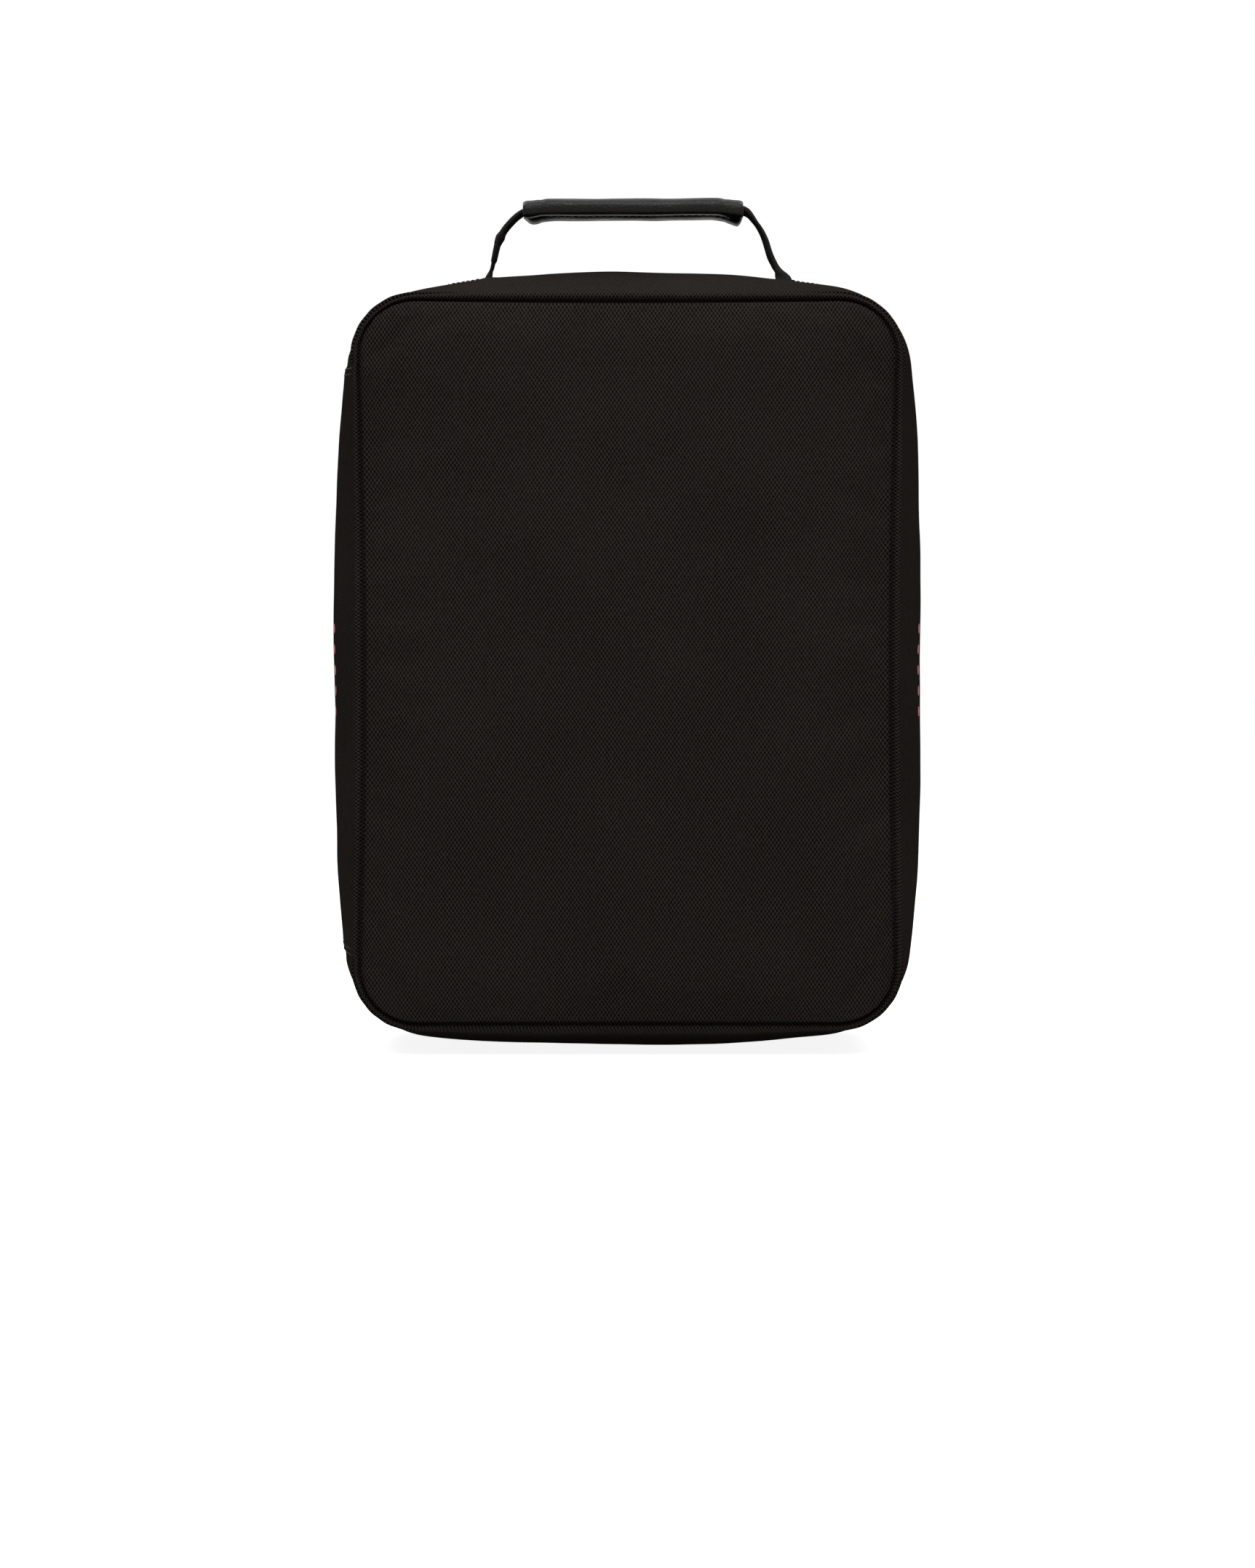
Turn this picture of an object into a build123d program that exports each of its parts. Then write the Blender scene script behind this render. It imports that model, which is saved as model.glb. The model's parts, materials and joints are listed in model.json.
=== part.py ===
from build123d import *
from functools import lru_cache
from math import asin, atan2, cos, degrees, hypot, radians, sin
import os

# Clamshell shoe bag: a soft box whose lid is hinged along its left side by an unbroken stretch of gusset.
# +Z is up, -Y is the plain back face, +Y the lid. Origin: centre of the flat patch that it stands on. All in mm.

# Overall size of the filled bag
BAG_WIDTH = 266.0
BAG_HEIGHT = 350.0
BAG_DEPTH = 135.0

# Outline of the two panels: half sizes at the middle of each side, and how far the sides are drawn in there
GUSSET_BULGE_SIDE = 16.4
GUSSET_BULGE_TOP = 15.5
GUSSET_BULGE_BOTTOM = 14.5
PANEL_SIDE_DRAW_IN = 3.4
PANEL_TOP_DRAW_IN = 1.5
PANEL_BOTTOM_DRAW_IN = 0.5
PANEL_CORNER_RADIUS = 25.0

# Outline half-way through the depth, where the gusset bulges most
SIDE_BOW = 7.5
TOP_BOW = 12.0
BOTTOM_BOW = 6.7
BULGE_CORNER_RADIUS = 41.0
REST_PATCH_DEPTH = 0.8

# Cloth layers
CLOTH = 0.8
PANEL_FOAM = 4.0
GUSSET_FOAM = 3.0
LINING = 0.4
BINDING_THICKNESS = 2.5
BINDING_HEIGHT = 9.0
PATCH_THICKNESS = 0.6
LAYER_GAP = 0.1

# Zip
LID_DEPTH = 25.5
TAPE_WIDTH = 14.0
TAPE_THICKNESS = 0.6
TAPE_SHOWING = 9.0
COIL_WIDTH = 2.6
COIL_PROUD = 1.2
CHAIN_GAP = 1.4
LINING_SETBACK = 8.0

# Hinge stretch of the gusset, and its fold line
HINGE_PANEL_HEIGHT = 266.0
FOLD_GAP = 0.4
FOLD_FOAM_SETBACK = 6.0
HINGE_AXIS_OUTBOARD = 1.9

# Sliders and pull tabs
SLIDER_LENGTH = 12.0
SLIDER_WIDTH = 10.6
SLIDER_PLATE = 0.9
SLIDER_CLEARANCE = 0.5
UNDER_PLATE_CLEARANCE = 1.0
SLIDER_POST = 0.8
SLIDER_POST_LENGTH = 5.0
SLIDER_POST_SETBACK = 2.8
SLIDER_EDGE_RADIUS = 3.0
BRIDGE_LENGTH = 7.0
BRIDGE_WIDTH = 1.6
BRIDGE_HEIGHT = 2.4
BRIDGE_STRAP = 0.8
EYE_BAR_RADIUS = 0.5
PULLER_LENGTH = 22.0
PULLER_WIDTH = 6.6
PULLER_THICKNESS = 1.1
PULLER_ARM_WIDTH = 1.1
PULLER_SIDE_GAP = 0.6
PULLER_PLATE_GAP = 0.2
EYE_LENGTH = 4.0
SLIDERS_MEET_X = 12.0
SLIDER_PITCH = 14.0
SLIDER_END_X = 80.0

# Carry handle
HANDLE_X = 2.5
HANDLE_Y = 8.0
HANDLE_FEET_SPAN = 124.0
HANDLE_GRIP_LENGTH = 100.0
HANDLE_RISE = 33.0
GRIP_WIDTH = 28.0
GRIP_THICKNESS = 9.6
WRAP_THICKNESS = 1.4
CORE_LENGTH = 80.0
CORE_WIDTH = 20.0
WEBBING_WIDTH = 20.0
WEBBING_THICKNESS = 2.2
FOOT_LENGTH = 12.0
FOOT_CLEARANCE = 0.3
STRAP_BEND_X = 49.9
STRAP_KNEE_X = 57.5
STRAP_KNEE_DROP = 13.5
SHOULDER_RADIUS = 9.0
KNEE_RADIUS = 20.0
ANKLE_RADIUS = 5.0
FOLD_PIVOT_RISE = 2.0
PATCH_LENGTH = 30.0
PATCH_WIDTH = 26.0

# Worked-out sizes
half_depth = BAG_DEPTH / 2
mid_z = BAG_HEIGHT / 2
zip_y = half_depth - LID_DEPTH
foam_start = CLOTH + LAYER_GAP
lining_start = foam_start + GUSSET_FOAM + LAYER_GAP
inside_start = lining_start + LINING + LAYER_GAP
tape_start = CLOTH + LAYER_GAP
lid_lining_start = tape_start + TAPE_THICKNESS + LAYER_GAP
lid_inside_start = lid_lining_start + LINING + LAYER_GAP
panel_stack = CLOTH + LAYER_GAP + PANEL_FOAM + LAYER_GAP + LINING
strip_end = half_depth - CLOTH - LAYER_GAP
stack_end = half_depth - panel_stack - LAYER_GAP
body_edge = zip_y - TAPE_SHOWING
lid_edge = zip_y + TAPE_SHOWING
hinge_low = mid_z - HINGE_PANEL_HEIGHT / 2
hinge_high = mid_z + HINGE_PANEL_HEIGHT / 2


def share(y, power=2):
    """How much of the full bulge the gusset has at depth y: 1 half-way, 0 at the panels."""
    return 1 - abs(y / half_depth) ** power


def outline_sizes(y, offset):
    """Half width, top and bottom of the bag's outline at depth y, with the corner points its sides bow from."""
    side, low = share(y), share(y, 4)
    half_width = BAG_WIDTH / 2 - GUSSET_BULGE_SIDE * (1 - side) - offset
    top = BAG_HEIGHT - GUSSET_BULGE_TOP * (1 - side) - offset
    bottom = GUSSET_BULGE_BOTTOM * (1 - low) - REST_PATCH_DEPTH + offset
    side_bow = SIDE_BOW * side - PANEL_SIDE_DRAW_IN * (1 - side)
    top_bow = TOP_BOW * side - PANEL_TOP_DRAW_IN * (1 - side)
    bottom_bow = BOTTOM_BOW * side - PANEL_BOTTOM_DRAW_IN * (1 - side)
    radius = PANEL_CORNER_RADIUS + (BULGE_CORNER_RADIUS - PANEL_CORNER_RADIUS) * side - offset
    return half_width, top, bottom, side_bow, top_bow, bottom_bow, radius


def outline(y, offset):
    """The bag's outline at depth y as a face in the XZ plane, drawn in by the offset."""
    half_width, top, bottom, side_bow, top_bow, bottom_bow, radius = outline_sizes(y, offset)
    corner_x = half_width - side_bow
    high, low = top - top_bow, bottom + bottom_bow
    edges = [
        ThreePointArc((corner_x, y, high), (0, y, top), (-corner_x, y, high)),
        ThreePointArc((-corner_x, y, high), (-half_width, y, mid_z), (-corner_x, y, low)),
        ThreePointArc((-corner_x, y, low), (0, y, bottom), (corner_x, y, low)),
        ThreePointArc((corner_x, y, low), (half_width, y, mid_z), (corner_x, y, high)),
    ]
    face = make_face(edges)
    return fillet(face.vertices(), radius)


@lru_cache(maxsize=None)
def filled_bag(offset):
    """The whole bag as one solid, its skin drawn in by the offset, cut flat where it stands."""
    depths = [-half_depth, -half_depth * 0.6, -half_depth * 0.25, half_depth * 0.25, zip_y, half_depth]
    body = loft([outline(y, offset) for y in depths])
    keep = Pos(0, 0, offset) * Box(
        2 * BAG_WIDTH, 2 * BAG_DEPTH, 2 * BAG_HEIGHT, align=(Align.CENTER, Align.CENTER, Align.MIN)
    )
    return body & keep


def block(x_range, y_range, z_range):
    """A box from its three ranges."""
    sizes = [high - low for low, high in (x_range, y_range, z_range)]
    corner = Pos(x_range[0], y_range[0], z_range[0])
    return corner * Box(*sizes, align=(Align.MIN, Align.MIN, Align.MIN))


def everywhere_between(y_low, y_high):
    """All of the bag's width and height between two depths."""
    return block((-BAG_WIDTH, BAG_WIDTH), (y_low, y_high), (-BAG_HEIGHT, 2 * BAG_HEIGHT))


def hinge_zone(y_low, y_high, gap=0.0):
    """The hinge stretch on the left side between two depths, its two seam edges moved in by the gap."""
    return block((-BAG_WIDTH, 0), (y_low, y_high), (hinge_low + gap, hinge_high - gap))


def skin(outer, inner, y_low, y_high):
    """A closed band of cloth between two offsets and two depths."""
    return (filled_bag(outer) - filled_bag(inner)) & everywhere_between(y_low, y_high)


def zip_strip(outer, inner, y_low, y_high):
    """The band without its hinge stretch: it runs over the top, down the right side and under the bag."""
    return skin(outer, inner, y_low, y_high) - hinge_zone(-BAG_DEPTH, BAG_DEPTH, -LAYER_GAP / 2)


def hinge_strip(outer, inner, y_low, y_high):
    """The hinge stretch alone of the band."""
    return skin(outer, inner, y_low, y_high) & hinge_zone(-BAG_DEPTH, BAG_DEPTH, LAYER_GAP / 2)


def sheet(side, near, far, offset):
    """A flat sheet of a panel between two depths under the panel's face: side -1 is the back, +1 the lid."""
    start, end = sorted((side * (half_depth - near), side * (half_depth - far)))
    return filled_bag(offset) & everywhere_between(start, end)


def panel_layers(side):
    """Outer cloth, foam and lining of one panel, from the outside in."""
    foam_near = CLOTH + LAYER_GAP
    foam_far = foam_near + PANEL_FOAM
    cloth = sheet(side, 0, CLOTH, 0)
    foam = sheet(side, foam_near, foam_far, foam_start)
    lining = sheet(side, foam_far + LAYER_GAP, panel_stack, foam_start)
    return cloth, foam, lining


def seam_binding(side, offset):
    """The tape that covers the raw seam edges inside, all round the panel."""
    ends = sorted((side * stack_end, side * (stack_end - BINDING_HEIGHT)))
    return skin(offset, offset + BINDING_THICKNESS, *ends)


# Curves of the top run of the zip: an arc about an axis along Y
_, zip_top, _, _, zip_bow, _, _ = outline_sizes(zip_y, 0)
zip_corner_x = BAG_WIDTH / 2 - GUSSET_BULGE_SIDE * (1 - share(zip_y))
zip_corner_x -= SIDE_BOW * share(zip_y) - PANEL_SIDE_DRAW_IN * (1 - share(zip_y))
zip_run_radius = (zip_corner_x**2 + zip_bow**2) / (2 * zip_bow)
zip_run_centre_z = zip_top - zip_run_radius
zip_lean = degrees(atan2(2 * GUSSET_BULGE_TOP * zip_y, half_depth**2))

# Heights on a slider, from the cloth's surface outwards along its normal
under_plate_top = -(tape_start + TAPE_THICKNESS + UNDER_PLATE_CLEARANCE)
over_plate_low = COIL_PROUD + SLIDER_CLEARANCE
over_plate_top = over_plate_low + SLIDER_PLATE
bar_height = over_plate_top + PULLER_PLATE_GAP + PULLER_THICKNESS / 2
bar_x = BRIDGE_LENGTH / 2 - BRIDGE_STRAP - EYE_BAR_RADIUS - PULLER_PLATE_GAP


def slider_plate(low):
    """One of the slider's two plates, seen flat."""
    plate = Pos(0, 0, low) * Box(
        SLIDER_LENGTH, SLIDER_WIDTH, SLIDER_PLATE, align=(Align.CENTER, Align.CENTER, Align.MIN)
    )
    return fillet(plate.edges().filter_by(Axis.Z), SLIDER_EDGE_RADIUS)


def slider(direction):
    """A slider at the top of the zip run, before it is moved out: direction +1 pulls towards +X."""
    upper = slider_plate(over_plate_low)
    lower = slider_plate(under_plate_top - SLIDER_PLATE)
    post_height = over_plate_low - under_plate_top + SLIDER_PLATE
    post_x = -direction * SLIDER_POST_SETBACK
    post_z = (over_plate_low + under_plate_top) / 2
    upright = Rot(zip_lean, 0, 0) * Box(SLIDER_POST_LENGTH, SLIDER_POST, post_height)
    post = Pos(post_x, 0, post_z) * upright
    arch = Pos(0, 0, over_plate_top) * Box(
        BRIDGE_LENGTH, BRIDGE_WIDTH, BRIDGE_HEIGHT, align=(Align.CENTER, Align.CENTER, Align.MIN)
    )
    arch = fillet(arch.edges().filter_by(Axis.Y).group_by(Axis.Z)[-1], BRIDGE_STRAP)
    eye = Pos(0, 0, over_plate_top) * Box(
        BRIDGE_LENGTH - 2 * BRIDGE_STRAP,
        2 * BRIDGE_WIDTH,
        BRIDGE_HEIGHT - BRIDGE_STRAP,
        align=(Align.CENTER, Align.CENTER, Align.MIN),
    )
    return upper + lower + post + (arch - eye)


def puller(direction):
    """The pull tab lying flat on its slider: a bar through the bridge, two arms and a tab."""
    arm_y = BRIDGE_WIDTH / 2 + PULLER_SIDE_GAP + PULLER_ARM_WIDTH / 2
    bar = Rot(90, 0, 0) * Cylinder(EYE_BAR_RADIUS, 2 * arm_y)
    tab_length = PULLER_LENGTH - EYE_LENGTH
    tab = Pos(EYE_LENGTH + tab_length / 2, 0, 0) * Box(tab_length, PULLER_WIDTH, PULLER_THICKNESS)
    tab = fillet(tab.edges().filter_by(Axis.Z).group_by(Axis.X)[-1], PULLER_WIDTH * 0.45)
    arms = [
        Pos((EYE_LENGTH + SLIDER_PLATE) / 2, side * arm_y, 0)
        * Box(EYE_LENGTH + SLIDER_PLATE, PULLER_ARM_WIDTH, PULLER_THICKNESS)
        for side in (-1, 1)
    ]
    heads = [
        Pos(0, side * arm_y, 0) * Rot(90, 0, 0) * Cylinder(PULLER_THICKNESS / 2, PULLER_ARM_WIDTH)
        for side in (-1, 1)
    ]
    shape = bar + tab + arms[0] + arms[1] + heads[0] + heads[1]
    if direction < 0:
        shape = Rot(0, 0, 180) * shape
    return Pos(direction * bar_x, 0, bar_height) * shape


def on_zip_run(shape, x):
    """Seat a shape made about the origin on the top run of the zip, at a distance x along it."""
    turn = degrees(asin(x / zip_run_radius))
    seated = Pos(0, 0, zip_run_radius) * Rot(-zip_lean, 0, 0) * shape
    return Pos(0, zip_y, zip_run_centre_z) * Rot(0, turn, 0) * seated


# Carry handle: its strap is drawn in the XZ plane and given its width along Y
def top_surface_z(x, y):
    """Height of the bag's top at a place between the corners."""
    half_width, top, _, side_bow, top_bow, _, _ = outline_sizes(y, 0)
    corner_x = half_width - side_bow
    radius = (corner_x**2 + top_bow**2) / (2 * top_bow)
    return top - radius + (radius**2 - x**2) ** 0.5


grip_top_z = BAG_HEIGHT + HANDLE_RISE
grip_mid_z = grip_top_z - GRIP_THICKNESS / 2
feet_x = HANDLE_FEET_SPAN / 2
foot_low_z = top_surface_z(HANDLE_X + feet_x, HANDLE_Y) + FOOT_CLEARANCE
fold_pivot_z = foot_low_z + FOLD_PIVOT_RISE


def foot_point(side, reach):
    """A point on the middle of a foot of the strap, at a reach from the handle's centre."""
    x = HANDLE_X + side * reach
    return x, top_surface_z(x, HANDLE_Y) + FOOT_CLEARANCE + WEBBING_THICKNESS / 2


def strap():
    """The webbing: a foot on the cloth, up, through the grip, down and out again to the other foot."""
    rising = [(STRAP_KNEE_X, grip_mid_z - STRAP_KNEE_DROP), (STRAP_BEND_X, grip_mid_z)]
    left_side = [foot_point(-1, feet_x + FOOT_LENGTH), foot_point(-1, feet_x)]
    left_side += [(HANDLE_X - reach, z) for reach, z in rising]
    right_side = [(HANDLE_X + reach, z) for reach, z in reversed(rising)]
    right_side += [foot_point(1, feet_x), foot_point(1, feet_x + FOOT_LENGTH)]
    radii = [ANKLE_RADIUS, KNEE_RADIUS, SHOULDER_RADIUS, SHOULDER_RADIUS, KNEE_RADIUS, ANKLE_RADIUS]
    path = FilletPolyline(*[(x, HANDLE_Y, z) for x, z in left_side + right_side], radius=radii).wire()
    section = Plane(origin=path @ 0, z_dir=path % 0, x_dir=(0, 1, 0)) * Rectangle(
        WEBBING_WIDTH, WEBBING_THICKNESS
    )
    return sweep(section, path=path)


def grip_bar(width, thickness, length):
    """An oval bar along X at the grip's place."""
    start = Plane(origin=(HANDLE_X - length / 2, HANDLE_Y, grip_mid_z), x_dir=(0, 1, 0), z_dir=(1, 0, 0))
    return extrude(start * SlotOverall(width, thickness), length)


def handle_wrap():
    """The leather wrap: an oval sleeve round the strap and its filler."""
    outer = grip_bar(GRIP_WIDTH, GRIP_THICKNESS, HANDLE_GRIP_LENGTH)
    wall = 2 * WRAP_THICKNESS
    return outer - grip_bar(GRIP_WIDTH - wall, GRIP_THICKNESS - wall, 2 * HANDLE_GRIP_LENGTH)


def handle_core():
    """The two foam fillers that make the grip round, one above and one below the strap."""
    gap = WEBBING_THICKNESS / 2 + LAYER_GAP
    room = GRIP_THICKNESS / 2 - WRAP_THICKNESS - LAYER_GAP - gap
    fillers = []
    for side in (-1, 1):
        centre_z = grip_mid_z + side * (gap + room / 2)
        fillers.append(Pos(HANDLE_X, HANDLE_Y, centre_z) * Box(CORE_LENGTH, CORE_WIDTH, room))
    return fillers[0] + fillers[1]


def anchor_patch(side):
    """The patch inside the lining that one foot of the handle is sewn through to."""
    centre_x = HANDLE_X + side * (feet_x + FOOT_LENGTH / 2)
    zone = block(
        (centre_x - PATCH_LENGTH / 2, centre_x + PATCH_LENGTH / 2),
        (HANDLE_Y - PATCH_WIDTH / 2, HANDLE_Y + PATCH_WIDTH / 2),
        (mid_z, 2 * BAG_HEIGHT),
    )
    return skin(inside_start, inside_start + PATCH_THICKNESS, -half_depth, half_depth) & zone


def pieces():
    """Every sub-part by name."""
    made = {}
    made["back_panel"], made["back_foam"], made["back_lining"] = panel_layers(-1)
    made["lid_panel"], made["lid_foam"], made["lid_lining"] = panel_layers(1)

    tape_low = zip_y - TAPE_WIDTH
    tape_high = zip_y + TAPE_WIDTH
    half_gap = CHAIN_GAP / 2
    made["body_gusset"] = zip_strip(0, CLOTH, -strip_end, body_edge)
    made["body_gusset_foam"] = zip_strip(
        foam_start, foam_start + GUSSET_FOAM, -stack_end, tape_low - LAYER_GAP
    )
    made["body_gusset_lining"] = zip_strip(
        lining_start, lining_start + LINING, -stack_end, zip_y - LINING_SETBACK
    )
    made["lid_gusset"] = zip_strip(0, CLOTH, lid_edge, strip_end)
    made["lid_gusset_lining"] = zip_strip(
        lid_lining_start, lid_lining_start + LINING, zip_y + LINING_SETBACK, stack_end
    )

    made["body_zip_tape"] = zip_strip(tape_start, tape_start + TAPE_THICKNESS, tape_low, zip_y - half_gap)
    made["lid_zip_tape"] = zip_strip(tape_start, tape_start + TAPE_THICKNESS, zip_y + half_gap, tape_high)
    coil_far = half_gap + COIL_WIDTH
    made["body_zip_coil"] = zip_strip(-COIL_PROUD, CLOTH, zip_y - coil_far, zip_y - half_gap)
    made["lid_zip_coil"] = zip_strip(-COIL_PROUD, CLOTH, zip_y + half_gap, zip_y + coil_far)

    fold_low = zip_y - FOLD_GAP / 2
    fold_high = zip_y + FOLD_GAP / 2
    made["body_hinge_gusset"] = hinge_strip(0, CLOTH, -strip_end, fold_low)
    made["body_hinge_foam"] = hinge_strip(
        foam_start, foam_start + GUSSET_FOAM, -stack_end, zip_y - FOLD_FOAM_SETBACK
    )
    made["body_hinge_lining"] = hinge_strip(lining_start, lining_start + LINING, -stack_end, fold_low)
    made["lid_hinge_gusset"] = hinge_strip(0, CLOTH, fold_high, strip_end)
    made["lid_hinge_lining"] = hinge_strip(
        lid_lining_start, lid_lining_start + LINING, fold_high, stack_end
    )

    made["body_seam_binding"] = seam_binding(-1, inside_start)
    made["lid_seam_binding"] = seam_binding(1, lid_inside_start)

    for name, direction in (("left", -1), ("right", 1)):
        x = SLIDERS_MEET_X + direction * SLIDER_PITCH / 2
        made["slider_" + name] = on_zip_run(slider(direction), x)
        made["puller_" + name] = on_zip_run(puller(direction), x)
        made["anchor_patch_" + name] = anchor_patch(direction)

    made["handle_webbing"] = strap()
    made["handle_wrap"] = handle_wrap()
    made["handle_core"] = handle_core()
    return made


os.makedirs("parts", exist_ok=True)
model = pieces()
for node, shape in model.items():
    export_step(shape, os.path.join("parts", node + ".step"))
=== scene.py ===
import bisect
import functools
import json
import math

import bmesh
import bpy
from mathutils import Matrix, Vector, kdtree, noise


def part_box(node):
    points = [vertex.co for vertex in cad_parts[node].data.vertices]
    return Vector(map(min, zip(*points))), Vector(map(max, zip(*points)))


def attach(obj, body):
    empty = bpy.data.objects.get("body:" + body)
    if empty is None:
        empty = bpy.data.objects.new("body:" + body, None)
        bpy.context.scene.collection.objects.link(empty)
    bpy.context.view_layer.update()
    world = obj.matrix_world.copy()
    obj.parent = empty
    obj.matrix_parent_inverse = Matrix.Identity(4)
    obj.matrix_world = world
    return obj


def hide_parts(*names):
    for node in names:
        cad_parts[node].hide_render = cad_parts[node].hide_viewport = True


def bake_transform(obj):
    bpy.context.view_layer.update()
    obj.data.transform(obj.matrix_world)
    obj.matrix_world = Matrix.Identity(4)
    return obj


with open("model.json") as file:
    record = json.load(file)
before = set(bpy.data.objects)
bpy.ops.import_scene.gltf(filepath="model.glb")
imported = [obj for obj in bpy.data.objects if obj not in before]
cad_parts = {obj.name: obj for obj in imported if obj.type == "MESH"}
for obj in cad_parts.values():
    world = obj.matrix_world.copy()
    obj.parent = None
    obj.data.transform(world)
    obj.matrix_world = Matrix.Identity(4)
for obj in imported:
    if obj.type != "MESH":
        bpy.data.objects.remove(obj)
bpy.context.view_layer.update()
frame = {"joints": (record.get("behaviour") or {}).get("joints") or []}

bl_info = {
    "name": "Clamshell shoe bag",
    "version": (1, 0, 0),
    "blender": (4, 5, 0),
    "location": "View3D > Sidebar > Shoe bag",
    "description": "Dresses a clamshell shoe bag: woven cloth, zip, linings and a leather-wrapped handle",
    "category": "Object",
}

MM = 0.001

# The bag's main sizes, read from the construction
back_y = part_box("back_panel")[0][1]
front_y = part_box("lid_panel")[1][1]
half_depth = (front_y - back_y) / 2
half_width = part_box("body_gusset")[1][0]
bag_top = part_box("body_gusset")[1][2]
mid_z = bag_top / 2
zip_y = (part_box("body_zip_tape")[1][1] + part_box("lid_zip_tape")[0][1]) / 2
cloth_edge = zip_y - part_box("body_gusset")[1][1]
hinge_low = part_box("body_hinge_gusset")[0][2]
hinge_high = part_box("body_hinge_gusset")[1][2]
grip_low, grip_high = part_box("handle_wrap")
grip_mid = [(low + high) / 2 for low, high in zip(grip_low, grip_high)]
joints = {joint["name"]: joint for joint in frame["joints"]}
slider_joint, fold_joint = joints["slider_left_travel"], joints["handle_fold"]


def linear(hex_colour):
    """Turn an sRGB hex colour into the linear values that shaders read."""
    channels = [int(hex_colour[i : i + 2], 16) / 255 for i in (1, 3, 5)]
    return [c / 12.92 if c <= 0.04045 else ((c + 0.055) / 1.055) ** 2.4 for c in channels] + [1.0]


def length(name, description, millimetres):
    """A length property given in millimetres."""
    return bpy.props.FloatProperty(
        name=name, description=description, default=millimetres * MM, unit="LENGTH", precision=5
    )


def colour(name, description, hex_colour):
    """A colour property given as sRGB hex."""
    return bpy.props.FloatVectorProperty(
        name=name, description=description, default=linear(hex_colour), size=4, subtype="COLOR"
    )


class ShoeBagSizes(bpy.types.PropertyGroup):
    """Sizes of the filled bag and of its soft relief"""

    side_bulge: length("Side bulge", "How far the side gusset stands out past the panels", 16.4)
    top_bulge: length("Top bulge", "How far the top gusset stands out past the panels", 15.5)
    bottom_bulge: length("Bottom bulge", "How far the bottom gusset hangs below the panels", 15.6)
    side_draw: length("Side draw-in", "How far the panel's sides are drawn in half-way up", 3.4)
    top_draw: length("Top draw-in", "How far the panel's top edge is drawn in at its middle", 1.5)
    bottom_draw: length("Bottom draw-in", "How far the panel's bottom edge is drawn in", 0.5)
    panel_radius: length("Panel corner", "Corner radius of the panels", 25)
    bulge_radius: length("Bulge corner", "Corner radius half-way through the depth", 41)
    side_bow: length("Side bow", "Bow of the sides half-way through the depth", 7.5)
    top_bow: length("Top bow", "Bow of the top half-way through the depth", 12)
    bottom_bow: length("Bottom bow", "Bow of the bottom half-way through the depth", 6.7)
    rest_cut: length("Rest patch", "How much of the bottom is pressed flat", 0.4)
    seam_sink: length("Seam sink", "How far the panel seam lies behind the panel's face", 6.5)
    panel_roll: length("Panel roll", "Width of the rounded rim of a padded panel", 11.5)
    crown: length("Crown", "How much the middle of a panel stands proud", 2.4)
    cloth: length("Cloth", "Thickness of the woven cloth", 0.8)
    gusset_pad: length("Gusset padding", "Thickness of the gusset's cloth and foam", 3.8)
    panel_pad: length("Panel padding", "Thickness of a panel's cloth and foam", 4.8)
    tape_depth: length("Tape depth", "How deep the zip tape lies under the cloth", 0.9)
    tooth_pitch: length("Tooth pitch", "Distance from one turn of the zip's coil to the next", 1.8)
    stitch_pitch: length("Stitch pitch", "Distance from one stitch to the next", 3.4)


class ShoeBagColours(bpy.types.PropertyGroup):
    """Colours of the bag's materials"""

    # Cloth crowns and pits: the pit colour is painted shade between the threads, and the crown colour carries
    # painted light
    cloth_high: colour("Cloth threads", "Crown of the woven threads", "#37322f")
    cloth_pit_shade: colour("Cloth pits", "Pits between the threads", "#0b0908")
    # Lining crowns and pits: the pit colour is painted shade between the threads, and the crown colour
    # carries painted light
    lining: colour("Lining", "Smooth nylon lining", "#56575c")
    lining_pit_shade: colour("Lining pits", "Pits of the lining's fine weave", "#2f3033")
    # Webbing crowns and pits: the pit colour is painted shade between the threads, and the crown colour
    # carries painted light
    webbing: colour("Webbing", "Crown of the strap's threads", "#312d2b")
    webbing_pit_shade: colour("Webbing pits", "Pits between the strap's threads", "#090807")
    leather: colour("Leather", "Grain of the grip's leather", "#100e0d")
    # The cut edge's pale colour is partly the edge's own and partly a painted highlight
    edge_tone_and_highlight: colour("Leather edge", "Cut and burnished leather edge", "#9a948c")
    metal: colour("Metal", "Lacquered zinc of sliders and pull tabs", "#232326")
    nylon: colour("Nylon", "Coil of the zip", "#171718")
    thread: colour("Thread", "Sewing thread on the cloth", "#151312")
    grip_thread: colour("Grip thread", "Sewing thread on the grip", "#5a5550")
    ink: colour("Ink", "Printed dots on the sides", "#a8231e")
    floor: colour("Floor", "Pale studio floor", "#ededed")


def sizes():
    return bpy.context.scene.shoe_bag_sizes


def colours():
    return bpy.context.scene.shoe_bag_colours


# ---------------------------------------------------------------- outline of the bag

SIDE_STEPS, CORNER_STEPS, END_STEPS = 26, 14, 20
QUARTER_STEPS = SIDE_STEPS + CORNER_STEPS + END_STEPS
LINING_WALL = 0.4 * MM
PROUD = 0.15 * MM  # how far thread, teeth and ink stand on what carries them
SEAM_SAMPLES = 1400  # points along the panel's seam, to measure distances from it
NUDGE_ALONG, NUDGE_ACROSS = 0.0005, 0.2 * MM  # small moves that give a surface its directions


def share(y):
    """How much of the full bulge the gusset has at a depth: 1 half-way, 0 at the panels."""
    return 1 - min(1.0, abs(y / half_depth)) ** 2


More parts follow.
